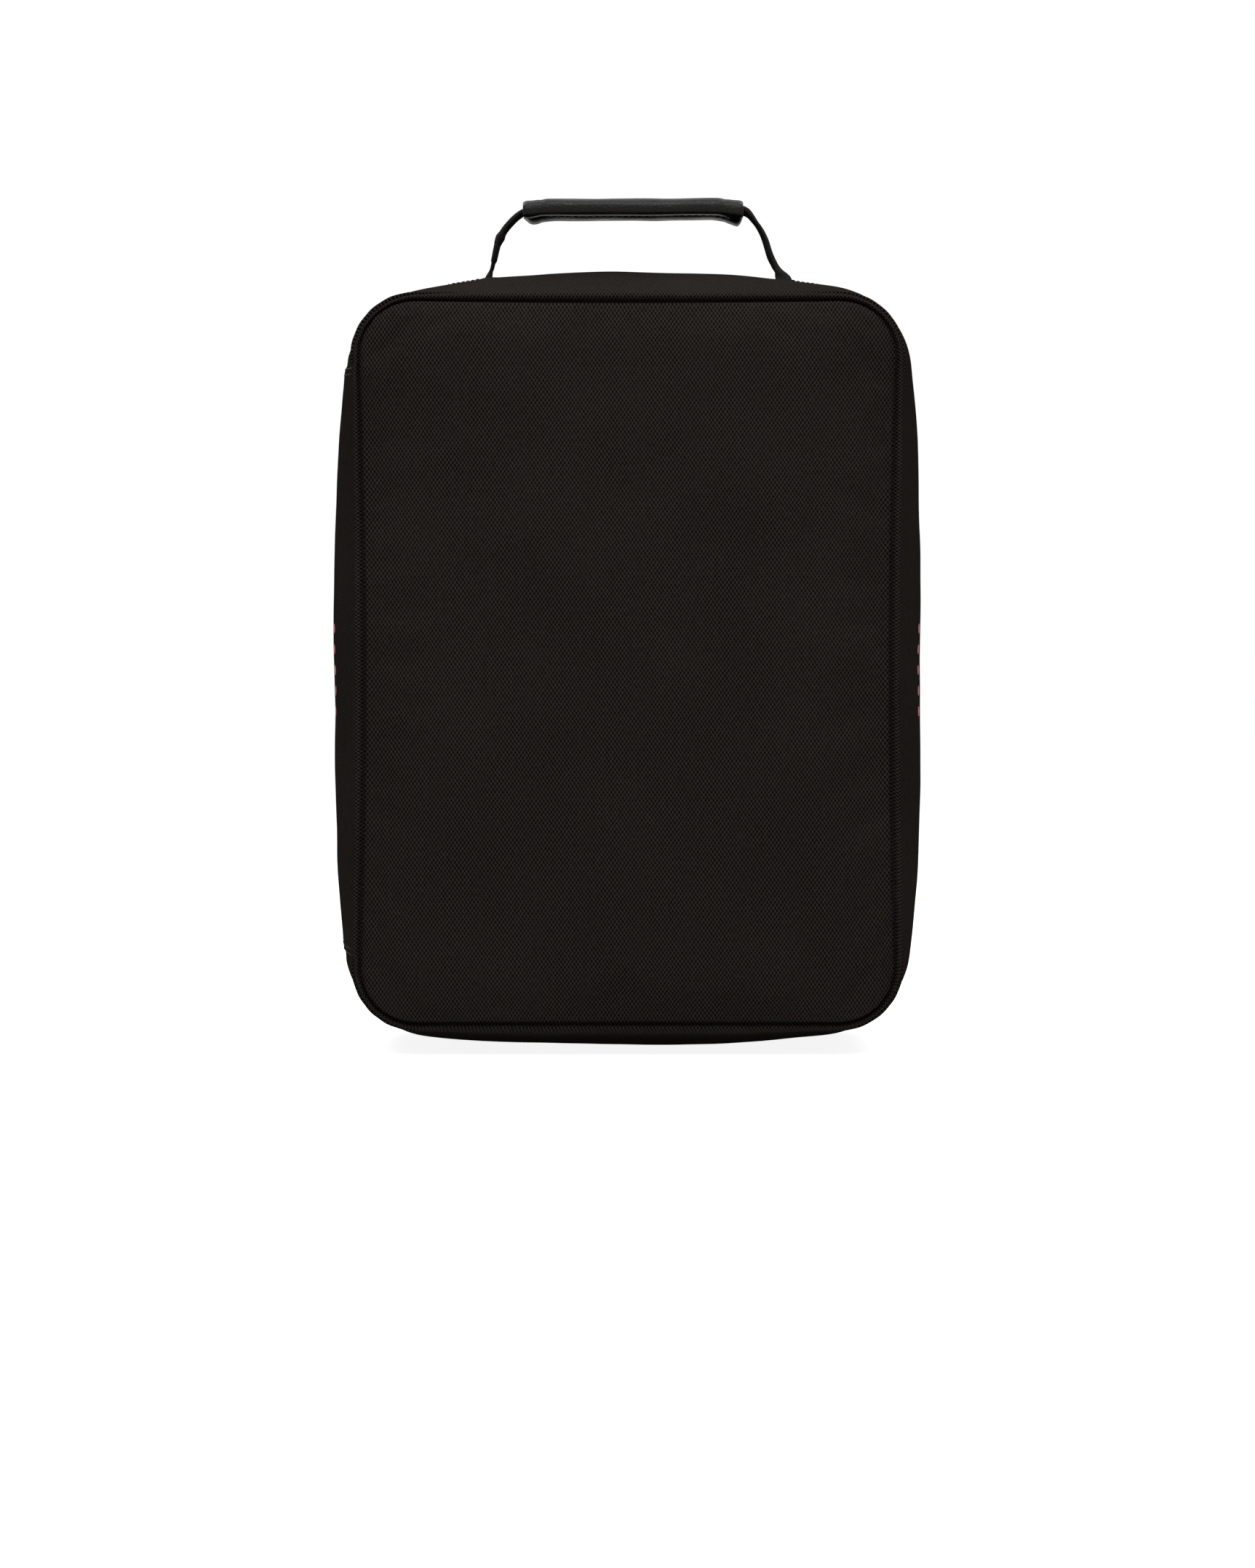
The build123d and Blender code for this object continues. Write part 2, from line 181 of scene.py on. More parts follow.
def quarter(wide, tall, corner_x, corner_z, radius):
    """Points from the middle of the right side to the middle of the top, round one corner."""

    def side(z):
        slope = 2 * (corner_x - wide) * z / corner_z**2
        return Vector((wide + (corner_x - wide) * (z / corner_z) ** 2, z)), Vector((1, -slope)).normalized()

    def end(x):
        slope = 2 * (corner_z - tall) * x / corner_x**2
        return Vector((x, tall + (corner_z - tall) * (x / corner_x) ** 2)), Vector((-slope, 1)).normalized()

    x, z = corner_x - radius, corner_z - radius
    for _ in range(12):
        (p, n), (q, m) = side(z), end(x)
        gap = (q - m * radius) - (p - n * radius)
        x, z = x - gap.x, z + gap.y
    (p, n), (q, m) = side(z), end(x)
    centre = p - n * radius
    first, last = math.atan2(n.y, n.x), math.atan2(m.y, m.x)
    turns = [first + (last - first) * i / CORNER_STEPS for i in range(1, CORNER_STEPS)]
    corner = [centre + Vector((math.cos(t), math.sin(t))) * radius for t in turns]
    up = [side(z * i / SIDE_STEPS)[0] for i in range(SIDE_STEPS + 1)]
    return up + corner + [end(x * (1 - i / END_STEPS))[0] for i in range(END_STEPS + 1)]


@functools.lru_cache(maxsize=None)
def outline(y):
    """The outline at a depth, clockwise from the middle of the left side: points and running lengths."""
    s = sizes()
    full = share(y)
    wide = half_width - s.side_bulge * (1 - full)
    top = bag_top - s.top_bulge * (1 - full) - mid_z
    bottom = mid_z - (s.bottom_bulge * (1 - full) - s.rest_cut)
    side_bow = s.side_bow * full - s.side_draw * (1 - full)
    top_bow = s.top_bow * full - s.top_draw * (1 - full)
    bottom_bow = s.bottom_bow * full - s.bottom_draw * (1 - full)
    radius = s.panel_radius + (s.bulge_radius - s.panel_radius) * full
    upper = quarter(wide, top, wide - side_bow, top - top_bow, radius)
    lower = quarter(wide, bottom, wide - side_bow, bottom - bottom_bow, radius)
    loop = [(-p.x, p.y) for p in upper] + [(p.x, p.y) for p in reversed(upper[:-1])]
    loop += [(p.x, -p.y) for p in lower[1:]] + [(-p.x, -p.y) for p in reversed(lower[:-1])]
    points = [Vector((x, max(z + mid_z, 0.0))) for x, z in loop]
    run = [0.0]
    for a, b in zip(points, points[1:]):
        run.append(run[-1] + (b - a).length)
    return points, run


@functools.lru_cache(maxsize=None)
def stretch_ends(y, stretch):
    """The running lengths at which a stretch starts and ends: the zip's run, the hinge's run or all."""
    points, run = outline(y)
    if stretch == "all":
        return 0.0, run[-1]

    def crossing(height, order):
        for i in order:
            a, b = points[i], points[i + 1]
            if a.x < 0 and (a.y - height) * (b.y - height) <= 0 and a.y != b.y:
                return run[i] + (run[i + 1] - run[i]) * (height - a.y) / (b.y - a.y)
        raise RuntimeError("the outline never reaches the hinge seam")

    high = crossing(hinge_high, range(len(points) - 1))
    low = crossing(hinge_low, range(len(points) - 2, 0, -1))
    return (high, low) if stretch == "zip" else (low - run[-1], high)


def outline_point(y, distance, lift=0.0):
    """A point of the skin at a depth and a running length, lifted outwards."""
    points, run = outline(y)
    distance %= run[-1]
    i = min(bisect.bisect_right(run, distance) - 1, len(points) - 2)
    a, b = points[i], points[i + 1]
    part = (distance - run[i]) / (run[i + 1] - run[i])
    before = points[i - 1] if i else points[-2]
    after = points[i + 2] if i + 2 < len(points) else points[1]
    tangent = (b - before).normalized().lerp((after - a).normalized(), part).normalized()
    spot = a.lerp(b, part) + Vector((-tangent.y, tangent.x)) * lift
    return Vector((spot.x, y, spot.y))


def on_bag(stretch, u, y, lift=0.0):
    """A point of the bag's skin: a share u along a stretch, at a depth, lifted outwards."""
    start, end = stretch_ends(y, stretch)
    return outline_point(y, start + (end - start) * u, lift)


def surface_frame(point_at, stretch, u, y):
    """A place on a surface with its direction along the stretch, across it and outwards."""
    here = point_at(stretch, u, y)
    along = (point_at(stretch, u + NUDGE_ALONG, y) - here).normalized()
    across = (point_at(stretch, u, y + NUDGE_ACROSS) - here).normalized()
    return here, along, across, along.cross(across).normalized()


def skin_frame(stretch, u, y, lift):
    return surface_frame(lambda *place: on_bag(*place, lift), stretch, u, y)


def run_length(stretch, y=0.0):
    start, end = stretch_ends(y, stretch)
    return end - start


def run_share(stretch, y, distance):
    """The share u of a stretch that a running length of the whole outline has reached."""
    start, end = stretch_ends(y, stretch)
    return (distance - start) / (end - start)


# ---------------------------------------------------------------- making pieces


def smoothstep(low, high, value):
    """A smooth step from 0 at low to 1 at high, which may be the smaller of the two."""
    t = min(1.0, max(0.0, (value - low) / (high - low)))
    return t * t * (3 - 2 * t)


def hump(value, width):
    return math.exp(-((value / width) ** 2))


def add_object(name, data):
    item = bpy.data.objects.new(name, data)
    bpy.context.scene.collection.objects.link(item)
    return item


def new_piece(name, bm, material):
    """A mesh object from a bmesh, smooth shaded, with its material."""
    mesh = bpy.data.meshes.new(name)
    bm.to_mesh(mesh)
    bm.free()
    mesh.polygons.foreach_set("use_smooth", [True] * len(mesh.polygons))
    mesh.materials.append(material)
    return add_object(name, mesh)


def dress(piece, body, replaces=(), thickness=0.0, levels=0, bevel=0.0):
    """Give a piece its modifiers, its body and the solids that it stands for."""
    if thickness:
        wall = piece.modifiers.new("Thickness", "SOLIDIFY")
        wall.thickness = thickness
        wall.offset = -1
    if bevel:
        rounding = piece.modifiers.new("Rounding", "BEVEL")
        rounding.width = bevel
        rounding.segments = 2
        rounding.limit_method = "ANGLE"
    if levels:
        divide = piece.modifiers.new("Subdivision", "SUBSURF")
        divide.levels = divide.render_levels = levels
    if body:
        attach(piece, body)
    if replaces:
        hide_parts(*replaces)
    return piece


def sheet(place, columns, rows, outward=None, scale=(1.0, 1.0), close_across=False, depths=None):
    """A grid whose point (u, v) goes where place says, with a cloth map in metres.

    Ends that meet are joined. Outward gives the way out at a point; without it the shape closes on itself.
    Depths are the rows' own places across the cloth, where they are uneven.
    """
    bm = bmesh.new()
    bmesh.ops.create_grid(bm, x_segments=columns, y_segments=rows, size=0.5)
    cloth_map = bm.loops.layers.uv.new("cloth")
    for face in bm.faces:
        for loop in face.loops:
            u, v = loop.vert.co.x + 0.5, loop.vert.co.y + 0.5
            loop[cloth_map].uv = (u * scale[0], depths[round(v * rows)] if depths else v * scale[1])
    for vert in bm.verts:
        vert.co = place(vert.co.x + 0.5, vert.co.y + 0.5)
    bmesh.ops.remove_doubles(bm, verts=bm.verts[:], dist=0.01 * MM)
    if close_across:
        rim = [edge for edge in bm.edges if edge.is_boundary]
        bmesh.ops.holes_fill(bm, edges=rim, sides=0)
    if outward is None:
        bmesh.ops.recalc_face_normals(bm, faces=bm.faces[:])
        return bm
    bm.normal_update()
    votes = sum(1 if face.normal.dot(outward(face.calc_center_median())) > 0 else -1 for face in bm.faces)
    if votes < 0:
        bmesh.ops.reverse_faces(bm, faces=bm.faces[:])
    return bm


def flat_map(bm):
    """Lay a panel's cloth map flat, by its x and z."""
    cloth_map = bm.loops.layers.uv["cloth"]
    for face in bm.faces:
        for loop in face.loops:
            loop[cloth_map].uv = (loop.vert.co.x, loop.vert.co.z)
    return bm


def squared_off(value, power):
    """A sine or cosine pushed outwards, so that a round section turns squarish."""
    return math.copysign(abs(value) ** power, value)


def from_axis(point):
    """Outwards from the bag's depth axis."""
    return Vector((point.x, 0, point.z - mid_z))


def to_axis(point):
    return -from_axis(point)


# ---------------------------------------------------------------- relief of the cloth


def seam_pucker(distance, along, depth=0.28, pitch=8.5, reach=9.0):
    """Small uneven tucks that the stitches pull beside a seam. Depth, pitch and reach are in mm."""
    fade = max(0.0, 1 - distance / (reach * MM))
    wander = noise.noise(Vector((along / (24 * MM), 7.3, 0)))
    strength = 0.6 + 0.6 * noise.noise(Vector((along / (37 * MM), 2.1, 5)))
    return depth * MM * strength * fade**1.5 * math.sin(2 * math.pi * along / (pitch * MM) + 4 * wander)


# Where the filling presses the gusset out or leaves it slack: place in the XZ plane, reach and height, in mm
swells = (
    (-112, 328, 34, -2.2),
    (120, 318, 26, -0.2),
    (131, 268, 34, 0.9),
    (131, 84, 40, 1.5),
    (-130, 72, 28, 1.1),
    (-110, 18, 26, -1.3),
    (108, 14, 26, -2.2),
)


def swell(at):
    """Height of the filling's swells and slack places at a point of the gusset."""
    height = 0.0
    for x, z, reach, rise in swells:
        height += rise * MM * hump(at.x - x * MM, reach * MM) * hump(at.z - z * MM, reach * MM)
    return height * smoothstep(half_depth, half_depth * 0.55, abs(at.y))


def skin_depth(y):
    """The depth whose outline the gusset has at y: it reaches the panel's outline at the sunken seam."""
    seam_y = half_depth - sizes().seam_sink
    return round(y * (1 + (half_depth / seam_y - 1) * smoothstep(seam_y * 0.6, seam_y, abs(y))), 6)


def soft_relief(at, from_seam):
    """Soft waves and swells of the filled gusset at a point."""
    wave = 0.8 * MM * noise.noise(at / (48 * MM)) + 0.3 * MM * noise.noise(at / (17 * MM))
    return wave * smoothstep(0, 16 * MM, from_seam) + swell(at)


# How the gusset rolls out of its turned seam, in mm: distance from it, lift outwards and shift to the panel
seam_roll = (
    (0, -1.6, -0.3), (0.7, -0.9, 0.3), (1.4, -0.15, 1.3), (2.1, 0.1, 3.3), (2.9, 0.45, 5.2), (3.8, 1.0, 6.3),
    (5.0, 1.35, 6.4), (6.6, 1.2, 5.8), (8.8, 0.85, 4.0), (12, 0.4, 1.0), (16, 0, 0),
)


def read_table(table, value):
    """The row of a table at a value of its first column, blended between its neighbours."""
    for low, high in zip(table, table[1:]):
        if value <= high[0]:
            part = max(0.0, (value - low[0]) / (high[0] - low[0]))
            return [a + (b - a) * part for a, b in zip(low[1:], high[1:])]
    return table[-1][1:]


def gusset_lift(stretch, u, y, from_seam):
    """Relief of the outer gusset: tucks, soft waves, swells and the edges of the hinge."""
    lift = soft_relief(on_bag(stretch, u, y), from_seam)
    lift += seam_pucker(from_seam, u * run_length(stretch))
    ends = min(u, 1 - u) * run_length(stretch)
    if stretch == "hinge":
        lift += 0.3 * MM * hump(ends - 4 * MM, 3 * MM) - 0.6 * MM * hump(ends, 1.2 * MM)
        lift -= 0.6 * MM * hump(y - zip_y, 1.6 * MM)
        lift += 0.5 * MM * hump(abs(y - zip_y) - 3.5 * MM, 2 * MM)
    else:
        lift -= 0.5 * MM * hump(ends, 1.6 * MM)
    return lift


def gusset_point(stretch, u, y):
    """A point of the outer gusset, with its relief, its seam rolls and the pull of the handle's feet."""
    from_seam = half_depth - sizes().seam_sink - abs(y)
    roll, shift = read_table(seam_roll, from_seam / MM)
    point = on_bag(stretch, u, skin_depth(y), gusset_lift(stretch, u, y, from_seam) + roll * MM)
    return Vector((point.x, y + math.copysign(shift * MM, y), max(point.z + foot_tent(point), 0.0)))


def gusset_frame(stretch, u, y, lift):
    """A place lifted off the outer gusset, with its three directions."""
    here, along, across, out = surface_frame(gusset_point, stretch, u, y)
    return here + out * lift, along, across, out


def foot_tent(point):
    """The handle's feet pull the cloth of the top up a little."""
    if point.z < mid_z:
        return 0.0
    reach = point.x - grip_mid[0]
    near = hump(reach + 66 * MM, 3.5 * MM) + hump(reach - 69 * MM, 5 * MM)
    return 1.3 * MM * near * hump(point.y - grip_mid[1], 12 * MM)


def depth_rows(start, end, count):
    """Depths from start to end: close together at the edges for rolls and hems, even in between."""
    edge = [near * MM for near, _, _ in seam_roll[:9] if near * MM < (end - start) / 2.1]
    low, high = start + edge[-1], end - edge[-1]
    between = [low + (high - low) * i / (count + 1) for i in range(1, count + 1)]
    return [start + near for near in edge] + between + [end - near for near in reversed(edge)]


def gusset_band(name, stretch, start, end, rows, columns, hem=None):
    """One strip of padded outer gusset between two depths. An edge with a hem turns under."""
    depths = depth_rows(start, end, rows)
    overlap = 2.5 * MM / run_length(stretch) if stretch == "zip" else 0.0

    def place(u, v):
        y = depths[round(v * (len(depths) - 1))]
        reach = -overlap + u * (1 + 2 * overlap)
        if hem is None:
            return gusset_point(stretch, reach, y)
        lift = 0.35 * MM * hump(abs(y - hem) - 2.2 * MM, 1.2 * MM) - 0.9 * MM * hump(y - hem, 0.7 * MM)
        point, _, _, _ = gusset_frame(stretch, reach, y, lift)
        return point

    bm = sheet(place, columns, len(depths) - 1, from_axis, (run_length(stretch), 0), depths=depths)
    return new_piece(name, bm, polyester_cloth())


def panel_runs(y):
    """Running lengths of the outline at its four corner middles, clockwise from the upper left."""
    _, run = outline(y)
    near = SIDE_STEPS + CORNER_STEPS // 2
    picks = (near, 2 * QUARTER_STEPS - near, 2 * QUARTER_STEPS + near, 4 * QUARTER_STEPS - near)
    return [run[i] for i in picks] + [run[-1] + run[near]]


def panel_point(s, t, y):
    """Where a place on a square from -1 to 1 lies on the panel, so that the square's rim follows the seam."""
    low, high = [outline_point(y, run_length("all", y) * turn).z for turn in (0.75, 0.25)]
    wide, tall = outline_point(y, 0.0).x * -1.015, (high - low) / 2 * 1.005
    flat = Vector((s * wide, y, (high + low) / 2 + t * tall))
    reach = max(abs(s), abs(t))
    if reach < 0.3:
        return flat
    a, b = s / reach, t / reach
    if b > 0.99999:
        side, part = 0, (a + 1) / 2
    elif a > 0.99999:
        side, part = 1, (1 - b) / 2
    elif b < -0.99999:
        side, part = 2, (1 - a) / 2
    else:
        side, part = 3, (b + 1) / 2
    runs = panel_runs(y)
    rim = outline_point(y, runs[side] + (runs[side + 1] - runs[side]) * part)
    return flat + (rim - Vector((a * wide, y, (high + low) / 2 + b * tall))) * reach**6


@functools.lru_cache(maxsize=None)
def seam_tree():
    """The panel's seam line as a search tree, to measure how far a point is from it."""
    total = run_length("all", half_depth)
    tree = kdtree.KDTree(SEAM_SAMPLES)
    for i in range(SEAM_SAMPLES):
        p = outline_point(half_depth, total * i / SEAM_SAMPLES)
        tree.insert((p.x, 0, p.z), i)
    tree.balance()
    return tree


def seam_distance(point):
    """Distance from the panel's seam, and how far along the seam that is."""
    _, index, distance = seam_tree().find((point.x, 0, point.z))
    return distance, run_length("all", half_depth) * index / SEAM_SAMPLES


def settle_cloth(piece, held, spare, cap, frames=20):
    """Let air pressure and a little spare cloth settle a sheet that its seam holds, within a cap."""
    mesh = piece.data
    flat = [vert.co.copy() for vert in mesh.vertices]
    seam = piece.vertex_groups.new(name="seam")
    seam.add(held, 1.0, "REPLACE")
    cloth = piece.modifiers.new("Settle", "CLOTH")
    settings = cloth.settings
    settings.quality = 5
    settings.mass = 0.2
    settings.tension_stiffness = settings.compression_stiffness = 15
    settings.shear_stiffness = 5
    settings.bending_stiffness = 2
    settings.vertex_group_mass = "seam"
    settings.shrink_min = -spare
    settings.use_pressure = True
    settings.uniform_pressure_force = 4
    settings.effector_weights.gravity = 0
    for frame_number in range(1, frames + 1):
        bpy.context.scene.frame_set(frame_number)
    settled = piece.evaluated_get(bpy.context.evaluated_depsgraph_get())
    moves = [vert.co - start for vert, start in zip(settled.data.vertices, flat)]
    piece.modifiers.remove(cloth)
    piece.vertex_groups.remove(seam)
    for vert, start, move in zip(mesh.vertices, flat, moves):
        vert.co = start + move * (cap * math.tanh(move.length / cap) / max(move.length, 1e-9))
    bpy.context.scene.frame_set(1)


def rim_sink(inward):
    """How far a padded panel lies behind its face at a distance from the seam."""
    s = sizes()
    return s.seam_sink * (1 - math.sqrt(max(0.0, 1 - (1 - min(1.0, inward / s.panel_roll)) ** 2.2)))


def panel_pad(name, side, body, replaces):
    """A padded panel: crowned, rolled at the seam and settled by its own stuffing."""
    s = sizes()

    def spread(value):
        value = 2 * value - 1
        return value * (1.32 - 0.32 * value * value)

    def place(u, v):
        point = panel_point(spread(u), spread(v), side * half_depth)
        inward, _ = seam_distance(point)
        crown = s.crown * smoothstep(0, half_width, inward)
        point.y = side * (half_depth - rim_sink(inward) + crown)
        return point

    bm = flat_map(sheet(place, 72, 96, lambda p: Vector((0, side, 0))))
    piece = new_piece(name, bm, polyester_cloth())
    near = [seam_distance(vert.co) for vert in piece.data.vertices]
    settle_cloth(piece, [i for i, (inward, _) in enumerate(near) if inward < 1.5 * MM], 0.012, 2.2 * MM)
    for vert, (inward, along) in zip(piece.data.vertices, near):
        wave = 0.7 * MM * noise.noise(vert.co / (64 * MM)) + 0.25 * MM * noise.noise(vert.co / (24 * MM))
        wave *= smoothstep(0, 22 * MM, inward)
        vert.co.y += side * (wave + seam_pucker(inward, along, 0.35, 8.5, 14) * smoothstep(0, 2 * MM, inward))
    dress(piece, body, replaces, thickness=s.panel_pad, levels=1)
    return piece


# ---------------------------------------------------------------- materials


def new_material(name):
    material = bpy.data.materials.new(name)
    material.use_nodes = True
    return material, material.node_tree, material.node_tree.nodes["Principled BSDF"]


def fill(tree, node, sockets):
    """Link or set a node's inputs."""
    for key, value in sockets.items():
        if isinstance(value, bpy.types.NodeSocket):
            tree.links.new(value, node.inputs[key])
        else:
            node.inputs[key].default_value = value


def add_node(tree, kind, settings, sockets):
    """Add a node, set its properties and fill its inputs. Returns its first output."""
    node = tree.nodes.new(kind)
    for key, value in settings.items():
        setattr(node, key, value)
    fill(tree, node, sockets)
    return node.outputs[0]


def maths(tree, operation, *values):
    return add_node(tree, "ShaderNodeMath", {"operation": operation}, dict(enumerate(values)))


def blend_colours(tree, factor, low, high):
    first = add_node(tree, "ShaderNodeMix", {"data_type": "RGBA"}, {0: factor, 6: low, 7: high})
    return first.node.outputs[2]


def darker(base, share_left):
    return [c * share_left for c in base[:3]] + [1.0]


def object_place(tree):
    return tree.nodes.new("ShaderNodeTexCoord").outputs["Object"]


def speckle(tree, place, scale, detail=3.0):
    return add_node(tree, "ShaderNodeTexNoise", {}, {"Vector": place, "Scale": scale, "Detail": detail})


def spread_range(tree, value, sockets):
    return add_node(tree, "ShaderNodeMapRange", {}, {"Value": value, **sockets})


def raise_surface(tree, height, strength, distance):
    relief = {"Height": height, "Strength": strength, "Distance": distance}
    return add_node(tree, "ShaderNodeBump", {}, relief)


def woven_material(name, high, low, across, down, bump, roughness, sheen, shine=0.0):
    """Cloth of crossing threads: painted light on the crowns, painted shade in the pits, and threads that
    vary a little in tone.
    """
    material, tree, shader = new_material(name)
    place = add_node(tree, "ShaderNodeUVMap", {"uv_map": "cloth"}, {})
    wobble = add_node(tree, "ShaderNodeTexNoise", {}, {"Vector": place, "Scale": 70.0}).node.outputs["Color"]
    shift = add_node(tree, "ShaderNodeVectorMath", {"operation": "SCALE"}, {0: wobble, "Scale": 0.9 * MM})
    woven = add_node(tree, "ShaderNodeVectorMath", {"operation": "ADD"}, {0: place, 1: shift})
    axes = add_node(tree, "ShaderNodeSeparateXYZ", {}, {0: woven}).node.outputs
    warp = maths(tree, "COSINE", maths(tree, "MULTIPLY", axes[0], 2 * math.pi / across))
    weft = maths(tree, "COSINE", maths(tree, "MULTIPLY", axes[1], math.pi / down))
    crossing = maths(tree, "MULTIPLY", warp, weft)
    threads = maths(tree, "MULTIPLY", speckle(tree, place, 500.0), 0.8)
    patches = maths(tree, "MULTIPLY", speckle(tree, place, 16.0), 0.5)
    height = maths(tree, "ADD", maths(tree, "ADD", crossing, threads), patches)
    # Painted light and shade of the weave: the colour runs from the pit shade up to the lit crown colour with
    # the threads' height, plus random thread tone
    shade = spread_range(tree, height, {"From Min": -0.15, "From Max": 1.75})
    gloss = {"From Min": -0.5, "From Max": 2.0, "To Min": 1.0, "To Max": roughness}
    fill(tree, shader, {
        "Base Color": blend_colours(tree, shade, low, high),
        "Normal": raise_surface(tree, crossing, bump, 0.4 * MM),
        "Roughness": spread_range(tree, height, gloss),
        "Specular IOR Level": shine,
        "Sheen Weight": sheen,
        "Sheen Roughness": 0.5,
    })
    return material


@functools.lru_cache(maxsize=None)
def polyester_cloth():
    """Heavy plain-woven polyester: thread crowns in dark staggered rows, with painted light on the crowns and
    painted shade in the pits, drawn half as coarse again.
    """
    c = colours()
    return woven_material("woven_polyester", c.cloth_high, c.cloth_pit_shade, 1.7 * MM, 1.25 * MM, 0.5, 0.8, 0.0)


@functools.lru_cache(maxsize=None)
def nylon_lining():
    """Smooth nylon lining: a fine close weave with painted light and shade on its crowns and pits, and a soft
    shine.
    """
    c = colours()
    return woven_material("nylon_lining", c.lining, c.lining_pit_shade, 1.1 * MM, 0.8 * MM, 0.2, 0.45, 0.1, 0.2)


@functools.lru_cache(maxsize=None)
def polyester_webbing():
    """Woven strap and tape: close ribs with painted light and shade on their crowns and pits, and a dull
    face.
    """
    c = colours()
    return woven_material("polyester_webbing", c.webbing, c.webbing_pit_shade, 2.2 * MM, 1.1 * MM, 0.8, 0.7, 0.05)


@functools.lru_cache(maxsize=None)
def grained_leather():
    """Corrected-grain leather: fine pebbles, worn satin highlights and a few darker creases."""
    material, tree, shader = new_material("grained_leather")
    place = object_place(tree)
    cells = {"Vector": place, "Scale": 620.0}
    pebbles = add_node(tree, "ShaderNodeTexVoronoi", {"feature": "DISTANCE_TO_EDGE"}, cells)
    grain = spread_range(tree, pebbles, {"From Max": 0.2})
    worn = speckle(tree, place, 70.0, 5.0)
    tone = maths(tree, "MULTIPLY_ADD", grain, 0.55, maths(tree, "MULTIPLY", worn, 0.55))
    fine = maths(tree, "MULTIPLY_ADD", speckle(tree, place, 1500.0), 0.5, grain)
    gloss = {"From Min": 0.3, "From Max": 0.7, "To Min": 0.34, "To Max": 0.5}
    fill(tree, shader, {
        "Base Color": blend_colours(tree, tone, darker(colours().leather, 0.35), colours().leather),
        "Normal": raise_surface(tree, fine, 0.45, 0.18 * MM),
        "Roughness": spread_range(tree, worn, gloss),
        "Specular IOR Level": 0.15,
    })
    return material


def plain_material(name, base, roughness, metallic=0.0, grain=900.0, bump=0.2, shine=0.5):
    """A smooth finish with slight unevenness in tone, gloss and relief."""
    material, tree, shader = new_material(name)
    spots = speckle(tree, object_place(tree), grain)
    gloss = {"To Min": roughness * 0.75, "To Max": min(1.0, roughness * 1.25)}
    fill(tree, shader, {
        "Base Color": blend_colours(tree, spots, darker(base, 0.65), base),
        "Normal": raise_surface(tree, spots, bump, 0.1 * MM),
        "Roughness": spread_range(tree, spots, gloss),
        "Metallic": metallic,
        "Specular IOR Level": shine,
    })
    return material


@functools.lru_cache(maxsize=None)
def lacquered_zinc():
    """Die-cast zinc under black lacquer: smooth, with a soft metallic glint."""
    return plain_material("lacquered_zinc", colours().metal, 0.3, metallic=0.9)


@functools.lru_cache(maxsize=None)
def moulded_nylon():
    """Coiled nylon monofilament, satin."""
    return plain_material("nylon_coil", colours().nylon, 0.38)


@functools.lru_cache(maxsize=None)
def sewing_thread():
    """Twisted polyester thread, nearly dull."""
    return plain_material("polyester_thread", colours().thread, 0.7, grain=2600.0, bump=0.5, shine=0.15)


@functools.lru_cache(maxsize=None)
def grip_thread():
    """Waxed thread, paler than the leather it holds."""
    return plain_material("waxed_thread", colours().grip_thread, 0.5, grain=2600.0, bump=0.5)


@functools.lru_cache(maxsize=None)
def edge_with_painted_highlight():
    """The cut edge of the leather, rubbed smooth and paler than its face, lightened further by a painted
    highlight.
    """
    return plain_material("painted_highlight_on_cut_leather", colours().edge_tone_and_highlight, 0.4, grain=500.0)


@functools.lru_cache(maxsize=None)
def printed_ink():
    """Rubbery screen-print ink sunk into the weave."""
    return plain_material("screen_print_ink", colours().ink, 0.6, grain=700.0, bump=0.5)


# ---------------------------------------------------------------- thread and coil


def beads(name, spots, material, body, size, replaces=()):
    """Small rounded bars for stitches and turns of the coil, one at each place. Their size is in mm."""
    bm = bmesh.new()
    scale = Matrix.Diagonal([side * MM / 2 for side in size] + [1])
    bmesh.ops.create_uvsphere(bm, u_segments=6, v_segments=4, radius=1, matrix=scale)
    bead = bpy.data.meshes.new("bead")
    bm.to_mesh(bead)
    bm.clear()
    for here, along, across, out in spots:
        turned = bead.copy()
        turned.transform(Matrix.Translation(here) @ Matrix((along, across, out)).transposed().to_4x4())
        bm.from_mesh(turned)
        bpy.data.meshes.remove(turned)
    bpy.data.meshes.remove(bead)
    return dress(new_piece(name, bm, material), body, replaces)


def squared(here, along, out):
    """A place with three square directions: along, across and out."""
    along = along.normalized()
    across = out.cross(along).normalized()
    return here, along, across, along.cross(across).normalized()


def row_on_bag(stretch, y, pitch, lift, frame_at=skin_frame, margin=0.0, phase=0.5):
    """Evenly spaced places along the bag at a depth."""
    count = int(run_length(stretch, y) * (1 - 2 * margin) / pitch)
    spots = []
    for i in range(count):
        here, along, _, out = frame_at(stretch, margin + (1 - 2 * margin) * (i + phase) / count, y, lift)
        spots.append(squared(here, along, out))
    return spots


def topstitch(name, y, body):
    """A row of stitches along the outer gusset beside the zip, sunk half into the cloth."""
    spots = row_on_bag("zip", y, sizes().stitch_pitch, PROUD, gusset_frame, 0.003)
    return beads(name, spots, sewing_thread(), body, (2.5, 0.6, 0.5))


# ---------------------------------------------------------------- linings, bindings and tapes


def strip(name, stretch, start, end, depth, rows, columns, material, inwards=True):
    """A strip of cloth or tape under the skin. Depth is a number or a function of y."""

    def place(u, v):
        y = start + (end - start) * v
        under = depth(y) if callable(depth) else depth
        if inwards:
            at = on_bag(stretch, u, y)
            under += 0.5 * MM * (1 + noise.noise(at / (30 * MM))) - soft_relief(at, half_depth - abs(y))
            under = max(under, 1.9 * MM)
        return on_bag(stretch, u, y, -under)

    outward = to_axis if inwards else from_axis
    return new_piece(name, sheet(place, columns, rows, outward, (run_length(stretch), end - start)), material)


